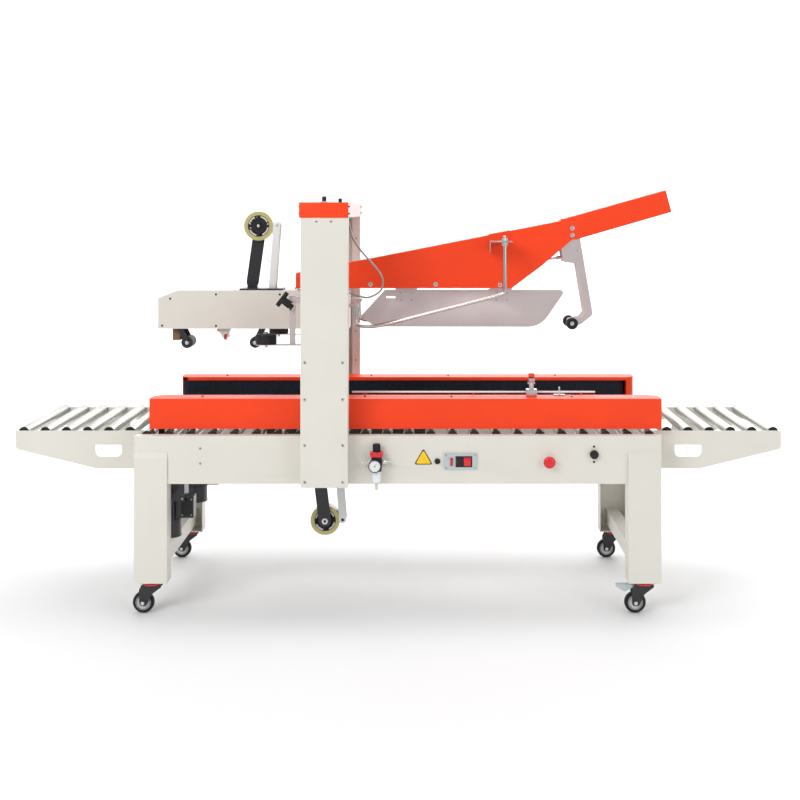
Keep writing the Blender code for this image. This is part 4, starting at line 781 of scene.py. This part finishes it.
def guide_bars():
    """Chrome bars on their sheet brackets: the CAD node's brackets with a finer bar over its coarse one."""
    hangers = refined("guide_bars", CHROME, "head", "chrome", 0.0006)
    hangers.data.materials.append(ORANGE)
    for face in hangers.data.polygons:
        if all(abs(hangers.data.vertices[v].co.y) < STRAP_HALF_WIDTH for v in face.vertices):
            face.material_index = 1
    shapes = []
    for side in (NEAR, FAR):
        path = rounded_path(guide_bar_path(side), 0.022)
        shapes.append(tube(path, 0.0073, CHROME, f"bar_{side}", 7))
        x, y = BAR_HANGER_X, side * BAR_FRONT_Y
        shapes.append(post(x, y, 1.3026, 1.3120, 0.0125, BRIGHT, 6))
        shapes.append(post(x, y, 1.3120, 1.3220, 0.0070, CHROME, 28))
        shapes.append(post(x, y, 1.2880, 1.2984, 0.0125, BRIGHT, 6))
        shapes.append(post(x, y, 1.2860, 1.2880, 0.0145, ZINC, 32))
    rides(joined("side_bars", shapes), "head")


def plate_screws():
    """Small screws through the tabs that hang the guide plate."""
    low, high = (Vector(c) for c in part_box("guide_plate"))
    shapes = []
    for way in (NEAR, FAR):
        y = way * high.y
        for x in (0.004, 0.045, 0.364, 0.405):
            for z in (1.078, 1.104):
                shapes += screw_head((x, y, z), (0, way, 0), BRIGHT, 0.0040, 0.0022)
    rides(joined("plate_screws", shapes), "head")


def kicker_wheels():
    """Black tyres with a groove, on pale hubs that show at their outer faces."""
    for side, way in SIDES:
        node = f"{side}_kicker_wheel"
        low, high = (Vector(c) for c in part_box(node))
        centre = (low + high) / 2
        r, half = (high.z - low.z) / 2, (high.y - low.y) / 2
        tread = [(r * 0.62, half), (r * 0.93, half), (r, half - 0.002), (r, 0.0015), (r - 0.0008, 0.0005)]
        disc = [(r * 0.36, half - 0.0010), (r * 0.40, half - 0.003), (r * 0.56, half - 0.003),
                (r * 0.62, half - 0.001)]
        boss = [(0.0044, half - 0.0006), (r * 0.32, half - 0.0006), (r * 0.36, half - 0.0014)]
        tyre = turned(mirrored(tread), centre, "Y", PLASTIC, 48)
        web = turned(mirrored(disc), centre, "Y", PLASTIC, 48)
        hub = turned(mirrored(boss), centre, "Y", HUB, 48)
        wheel = joined(f"{side}_kicker_tyre", [tyre, web, hub])
        stands_for(wheel, f"{side}_kicker_wheel", "black_rubber", node)
        outside = way * 0.0700
        shapes = [pin(centre.x, centre.z, outside - way * 0.0024, outside, 0.0062, BRIGHT, 6)]
        rides(joined(f"{side}_kicker_nut", shapes), "kicker")


def kicker_cylinder():
    """A brushed tube and a chrome rod, with bright bolt heads and nuts on the kicker."""
    refined("kicker_cylinder", STAINLESS_RED_REFLECTION, "cylinder", "stainless", 0.0006)
    refined("kicker_rod", CHROME, "cylinder_rod", "stainless", 0.0004)
    shapes = []
    px, pz = 0.650, 1.335
    for way in (NEAR, FAR):
        shapes.append(pin(px, pz, way * 0.0452, way * 0.0478, 0.0100, BRIGHT, 28, soft=0.0003))
        shapes.append(pin(0.672, 1.262, way * 0.0452, way * 0.0490, 0.0078, BRIGHT, 6))
    rides(joined("kicker_bolts", shapes), "kicker")


def squeeze_rollers():
    """Black rollers with a slightly crowned face, a top groove and a bright pin end."""
    for side, way in SIDES:
        node = f"{side}_squeeze_roller"
        low, high = (Vector(c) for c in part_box(node))
        centre = (low + high) / 2
        r, z0, z1 = (high.x - low.x) / 2, low.z, high.z
        profile = [(r - 0.003, z0), (r - 0.0008, z0 + 0.0015), (r, z0 + 0.005), (r, z1 - 0.005),
                   (r - 0.0008, z1 - 0.0015), (r - 0.003, z1), (r * 0.72, z1), (r * 0.70, z1 - 0.002),
                   (r * 0.36, z1 - 0.002), (r * 0.34, z1), (0.0064, z1), (0.0064, z0)]
        tyre = turned(profile, (centre.x, centre.y, 0), "Z", PLASTIC, 56)
        stands_for(joined(f"{side}_squeeze_tyre", [tyre]), f"{side}_squeeze", "black_rubber", node)
        top = z1 + 0.0042
        shapes = [
            post(centre.x, centre.y, z1 + 0.0006, z1 + 0.0032, 0.0120, BRIGHT, 28),
            post(centre.x, centre.y, z1 + 0.0032, top + 0.0040, 0.0085, BRIGHT, 6),
        ]
        shapes += clamp_knob(centre.y + way * 0.024)
        rides(joined(f"{side}_squeeze_knob", shapes), "head")


def clamp_knob(y):
    """The black T-handle that clamps the post: a boss and a rounded cross bar."""
    x = -0.387
    return [
        rod((x + 0.004, y, 1.0630), (x - 0.036, y, 1.0933), 0.0140, PLASTIC, 32, end_radius=0.0134,
            soft=0.002),
        rod((x - 0.053, y, 1.0695), (x - 0.0165, y, 1.1170), 0.0082, PLASTIC, 28, soft=0.003),
        rod((x - 0.012, y, 1.058), (x + 0.012, y, 1.058), 0.0060, BRIGHT, 6),
    ]


# ---------------------------------------------------------------- conduit


def conduit():
    """A spiral-wound metal lead. The route's points are those of the model."""
    outline = [
        (-0.1850, 1.3890), (-0.1755, 1.3600), (-0.1612, 1.3158), (-0.1362, 1.2766),
        (-0.0935, 1.2266), (-0.0649, 1.1910), (-0.0542, 1.1589), (-0.0649, 1.1268),
        (-0.1042, 1.1054), (-0.1362, 1.1090), (-0.1700, 1.1200), (-0.2088, 1.1260),
    ]
    route = [(x, -0.300, z) for x, z in outline]
    path = smooth_path(route, 40)
    lengths = [0.0]
    for a, b in zip(path, path[1:]):
        lengths.append(lengths[-1] + (b - a).length)
    pitch = 0.0032
    rings = int(lengths[-1] / pitch)
    form = bmesh.new()
    loops = []
    sides, steps = 20, 4
    spot = 0
    for k in range(rings * steps + 1):
        target = k / (rings * steps) * lengths[-1]
        while spot < len(path) - 2 and lengths[spot + 1] < target:
            spot += 1
        t = (target - lengths[spot]) / (lengths[spot + 1] - lengths[spot])
        place = path[spot].lerp(path[spot + 1], t)
        along = (path[spot + 1] - path[spot]).normalized()
        out = along.cross(Vector((0, 1, 0))).normalized()
        radius = 0.0037 + 0.0007 * math.sin(2 * math.pi * (k % steps) / steps + math.pi / 4)
        loop = []
        for s in range(sides):
            a = 2 * math.pi * s / sides
            ray = out * math.cos(a) + Vector((0, 1, 0)) * math.sin(a)
            loop.append(form.verts.new(place + ray * radius))
        loops.append(loop)
    for low, high in zip(loops, loops[1:]):
        for s in range(sides):
            n = (s + 1) % sides
            form.faces.new((low[s], low[n], high[n], high[s]))
    form.faces.new(loops[0])
    form.faces.new(loops[-1])
    lead = shaded(piece("spiral_lead", mesh_of(form, "spiral_lead"), SPIRAL), 60)
    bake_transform(lead)
    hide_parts("conduit")
    gland = post(-0.1850, -0.300, 1.3790, 1.3895, 0.0068, BRIGHT, 6)
    rides(gland, "root")
    gland.name = "lead_gland"


# ---------------------------------------------------------------- front panel


def panel_plate():
    """The blue-grey switch plate with its lamp lens, a bezel round the rocker, and four corner screws."""
    refined("control_plate", GREY, "root", "zinc", 0.0006)
    face = -0.3903
    x0, x1, z0, z1 = 0.2055, 0.2570, 0.5215, 0.5530
    edge = 0.0032
    sides = ((x0 - edge, z1, x1 + edge, z1 + edge), (x0 - edge, z0 - edge, x1 + edge, z0),
             (x0 - edge, z0, x0, z1), (x1, z0, x1 + edge, z1))
    shapes = [block((xa, face - 0.0016, za), (xb, face, zb), PLASTIC, 0.0005) for xa, za, xb, zb in sides]
    shapes.append(block((0.1835, face - 0.0050, 0.5235), (0.1935, face - 0.0029, 0.5515), LAMP, 0.0012))
    for x in (0.169, 0.271):
        for z in (0.515, 0.560):
            shapes += screw_head((x, face, z), (0, -1, 0), BRIGHT, 0.0034, 0.0018)
    rides(joined("switch_trim", shapes), "root")


def rocker():
    """The rocker: its outer half black and its inner half red, both plain."""
    x0, x1, z0, z1 = 0.2065, 0.2560, 0.5225, 0.5520
    back, front = -0.3888, -0.3948
    mid = (x0 + x1) / 2
    shapes = []
    halves = ((x0 + 0.001, mid, front, front + 0.002, PLASTIC), (mid, x1 - 0.001, front + 0.002, front, RED))
    for low, high, left, right, finish in halves:
        form = bmesh.new()
        corners = [(low, back), (high, back), (high, right), (low, left)]
        face = form.faces.new([form.verts.new((x, y, z0)) for x, y in corners])
        moved = bmesh.ops.extrude_face_region(form, geom=[face])["geom"]
        tops = [v for v in moved if isinstance(v, bmesh.types.BMVert)]
        bmesh.ops.translate(form, verts=tops, vec=(0, 0, z1 - z0))
        soften(form, 0.0006)
        shapes.append(shaded(piece("half", mesh_of(form, "half"), finish)))
    stands_for(joined("rocker_faces", shapes), "rocker", "red_plastic", "power_rocker")


def stop_button():
    """A red mushroom head on its stem, with a finger edge."""
    low, high = (Vector(c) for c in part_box("e_stop_button"))
    x, z = (low.x + high.x) / 2, (low.z + high.z) / 2
    r = (high.x - low.x) / 2
    front, back = low.y, high.y
    profile = [
        (0.0001, -front), (r * 0.45, -front - 0.0003), (r * 0.72, -front - 0.0016),
        (r * 0.90, -front - 0.0044),
        (r, -front - 0.0080), (r, -front - 0.0125), (r * 0.94, -front - 0.0142), (r * 0.60, -front - 0.0145),
        (0.0118, -front - 0.0150), (0.0118, -back + 0.0002), (0.0001, -back + 0.0002),
    ]
    head = turned(profile, (x, 0, z), "Y", RED, 64)
    stands_for(joined("stop_mushroom", [head]), "stop_button", "red_plastic", "e_stop_button")


def panel_details():
    """The plain warning triangle, black port cap, shaft end and beam bolts."""
    face = -BED_FACE_Y
    shapes = []
    cx, cz = 0.090, 0.545
    for size, out, finish in ((0.0330, 0.0007, BLACK), (0.0275, 0.0010, YELLOW)):
        corners = []
        for k in range(3):
            a = math.radians(90 + 120 * k)
            for spread in (-5, 5):
                b = a + math.radians(spread)
                corners.append((cx + size * math.cos(b), cz + size * math.sin(b)))
        shapes.append(plate(corners, face - out, face + 0.0003, finish, 0))
    shapes.append(pin(0.139, 0.538, face - 0.0062, face, 0.0100, PLASTIC, 36, soft=0.0012))
    x, z = 0.687, 0.562
    shapes.append(pin(x, z, face - 0.0140, face, 0.0150, PLASTIC, 40, soft=0.0015))
    shapes.append(pin(x, z, face - 0.0146, face - 0.0139, 0.0058, PLASTIC, 24, soft=0.0002))
    for dz in (-0.027, 0.027):
        shapes += screw_head((x, face, z + dz), (0, -1, 0), PLASTIC, 0.0042, 0.0024)
    for bz in (0.582, 0.529):
        shapes += screw_head((-0.691, face, bz), (0, -1, 0), BRIGHT, 0.0048, 0.0026)
    for x in (-0.52, 0.42, 0.82):
        shapes += screw_head((x, -face, 0.56), (0, 1, 0), BRIGHT, 0.0052, 0.0028)
    rides(joined("panel_details", shapes), "root")


def regulator():
    """The air regulator: ribbed knob, red ring, black body, round gauge, clear bowl and drain."""
    x, y = -0.073, -0.4095
    shapes = [
        turned([(0.0001, 0.5140), (0.0165, 0.5140), (0.0185, 0.5160), (0.0185, 0.5600), (0.0001, 0.5600)],
               (x, y, 0), "Z", PLASTIC, 48),
        turned([(0.0001, 0.5600), (0.0228, 0.5600), (0.0235, 0.5610), (0.0235, 0.5750), (0.0228, 0.5760),
                (0.0001, 0.5760)], (x, y, 0), "Z", RED, 56),
        turned([(0.0001, 0.4682), (0.0110, 0.4684), (0.0148, 0.4720), (0.0158, 0.4780), (0.0160, 0.5100),
                (0.0150, 0.5145), (0.0001, 0.5145)], (x, y, 0), "Z", CLEAR, 48),
        turned([(0.0001, 0.4428), (0.0042, 0.4430), (0.0052, 0.4445), (0.0052, 0.4560), (0.0060, 0.4570),
                (0.0060, 0.4690), (0.0001, 0.4690)], (x, y, 0), "Z", BRIGHT, 28),
        turned([(0.0163, 0.5085), (0.0178, 0.5090), (0.0178, 0.5135), (0.0163, 0.5140)],
               (x, y, 0), "Z", BLACK, 40),
        block((x - 0.014, y + 0.012, 0.545), (x + 0.014, -0.3843, 0.5755), BRIGHT, 0.001),
        rod((x - 0.050, y, 0.538), (x - 0.034, y, 0.538), 0.0052, BRIGHT, 24),
        rod((x - 0.034, y, 0.538), (x - 0.018, y, 0.538), 0.0078, BRIGHT, 6),
        rod((x + 0.018, y, 0.538), (x + 0.034, y, 0.538), 0.0078, BRIGHT, 6),
        rod((x + 0.034, y, 0.538), (x + 0.050, y, 0.538), 0.0052, BRIGHT, 24),
    ]
    gx, gz = x - 0.0055, 0.530
    front = y - 0.031
    shapes += [
        turned([(0.0001, -front - 0.0210), (0.0205, -front - 0.0210), (0.0220, -front - 0.0180),
                (0.0220, -front - 0.0008), (0.0212, -front), (0.0196, -front), (0.0192, -front - 0.0022),
                (0.0001, -front - 0.0022)], (gx, 0, gz), "Y", BLACK, 56),
        turned([(0.0001, -front - 0.0012), (0.0191, -front - 0.0012), (0.0191, -front - 0.0025),
                (0.0001, -front - 0.0025)], (gx, 0, gz), "Y", WHITE, 48),
        pin(gx, gz, front + 0.0012, front + 0.0004, 0.0022, BLACK, 16, soft=0),
    ]
    for k in range(11):
        a = math.radians(225 - 27 * k)
        tick = block((0.0145, front + 0.0008, -0.0004), (0.0178, front + 0.0013, 0.0004), BLACK, 0)
        shapes.append(spread_round(tick, (gx, 0, gz), -a))
    needle = block((-0.0035, front + 0.0005, -0.0005), (0.0125, front + 0.0010, 0.0005), RED, 0)
    shapes.append(spread_round(needle, (gx, 0, gz), math.radians(-62)))
    stands_for(joined("regulator_body", shapes), "root", "black_plastic", "air_regulator")
    cap = [(0.0001, 0.5763), (0.0128, 0.5763), (0.0128, 0.6005), (0.0112, 0.6035), (0.0001, 0.6040)]
    crown = [turned(cap, (x, y, 0), "Z", PLASTIC, 48)]
    for k in range(24):
        a = 2 * math.pi * k / 24
        rib = block((0.0122, -0.0009, 0.5785), (0.0135, 0.0009, 0.6000), PLASTIC, 0.0003)
        crown.append(spread_round(rib, (x, y, 0), a, "Z"))
    stands_for(joined("regulator_crown", crown), "knob", "black_plastic", "regulator_knob")


# ---------------------------------------------------------------- stage, light and camera


def stage():
    """A pale floor that curves up into a backdrop, far behind the machine."""
    finish = surface("studio floor", (0.90, 0.90, 0.90), 0.85, bump=0.0, mottle=0.0)
    form = bmesh.new()
    rows = [(-9.0, 0.0), (5.0, 0.0)]
    for k in range(1, 17):
        a = math.pi / 2 * k / 16
        rows.append((5.0 + 2.0 * math.sin(a), 2.0 - 2.0 * math.cos(a)))
    rows.append((7.0, 9.0))
    strips = [[form.verts.new((x, y, z)) for x in (-14, 14)] for y, z in rows]
    for low, high in zip(strips, strips[1:]):
        form.faces.new((low[0], low[1], high[1], high[0]))
    floor = shaded(piece("studio_floor", mesh_of(form, "studio_floor"), finish), 60)


def area_light(name, place, target, size, energy):
    data = bpy.data.lights.new(name, "AREA")
    data.shape = "RECTANGLE"
    data.size, data.size_y = size
    data.energy = energy
    lamp = bpy.data.objects.new(name, data)
    bpy.context.scene.collection.objects.link(lamp)
    lamp.location = place
    lamp.rotation_euler = (Vector(target) - Vector(place)).to_track_quat("-Z", "Y").to_euler()


def lights():
    middle_of_it = (0, 0, 0.75)
    area_light("key", (-2.8, -4.4, 3.6), middle_of_it, (2.6, 2.2), 120)
    area_light("fill", (3.8, -3.8, 2.4), middle_of_it, (3.0, 3.0), 46)
    area_light("top", (0.2, 0.6, 4.4), middle_of_it, (4.5, 2.6), 90)
    area_light("back", (1.5, 3.4, 3.0), middle_of_it, (4.0, 2.0), 60)
    area_light("backdrop", (0, 3.2, 4.6), (0, 7.0, 2.2), (9.0, 1.6), 420)
    world = bpy.data.worlds.new("studio")
    world.use_nodes = True
    world.node_tree.nodes["Background"].inputs["Color"].default_value = (0.97, 0.98, 1.0, 1)
    world.node_tree.nodes["Background"].inputs["Strength"].default_value = 0.50
    bpy.context.scene.world = world
    bpy.context.scene.view_settings.view_transform = "Standard"


def camera():
    data = bpy.data.cameras.new("camera")
    data.lens = 57.0
    data.sensor_width = 36.0
    data.shift_x, data.shift_y = -0.030, -0.239
    data.clip_end = 100
    made = bpy.data.objects.new("camera", data)
    bpy.context.scene.collection.objects.link(made)
    made.location = (0.092, -4.817, 1.421)
    made.rotation_euler = (math.radians(90), 0, 0)
    bpy.context.scene.camera = made


camera()
stage()
lights()
sheet_metal()
extension_rollers()
bed_rollers()
casters()
drives()
masts()
head_trim()
press_roller("press_roller_front", "front_press", -0.802, 0.917, 0.022)
press_roller("press_roller_rear", "rear_press", -0.545, 0.917, 0.021)
tape_roll("upper_tape_roll", "upper_roll")
tape_roll("lower_tape_roll", "lower_roll")
tape_paths()
cover_bolts()
cover_lap()
guide_bars()
plate_screws()
kicker_wheels()
kicker_cylinder()
squeeze_rollers()
conduit()
panel_plate()
rocker()
stop_button()
panel_details()
regulator()
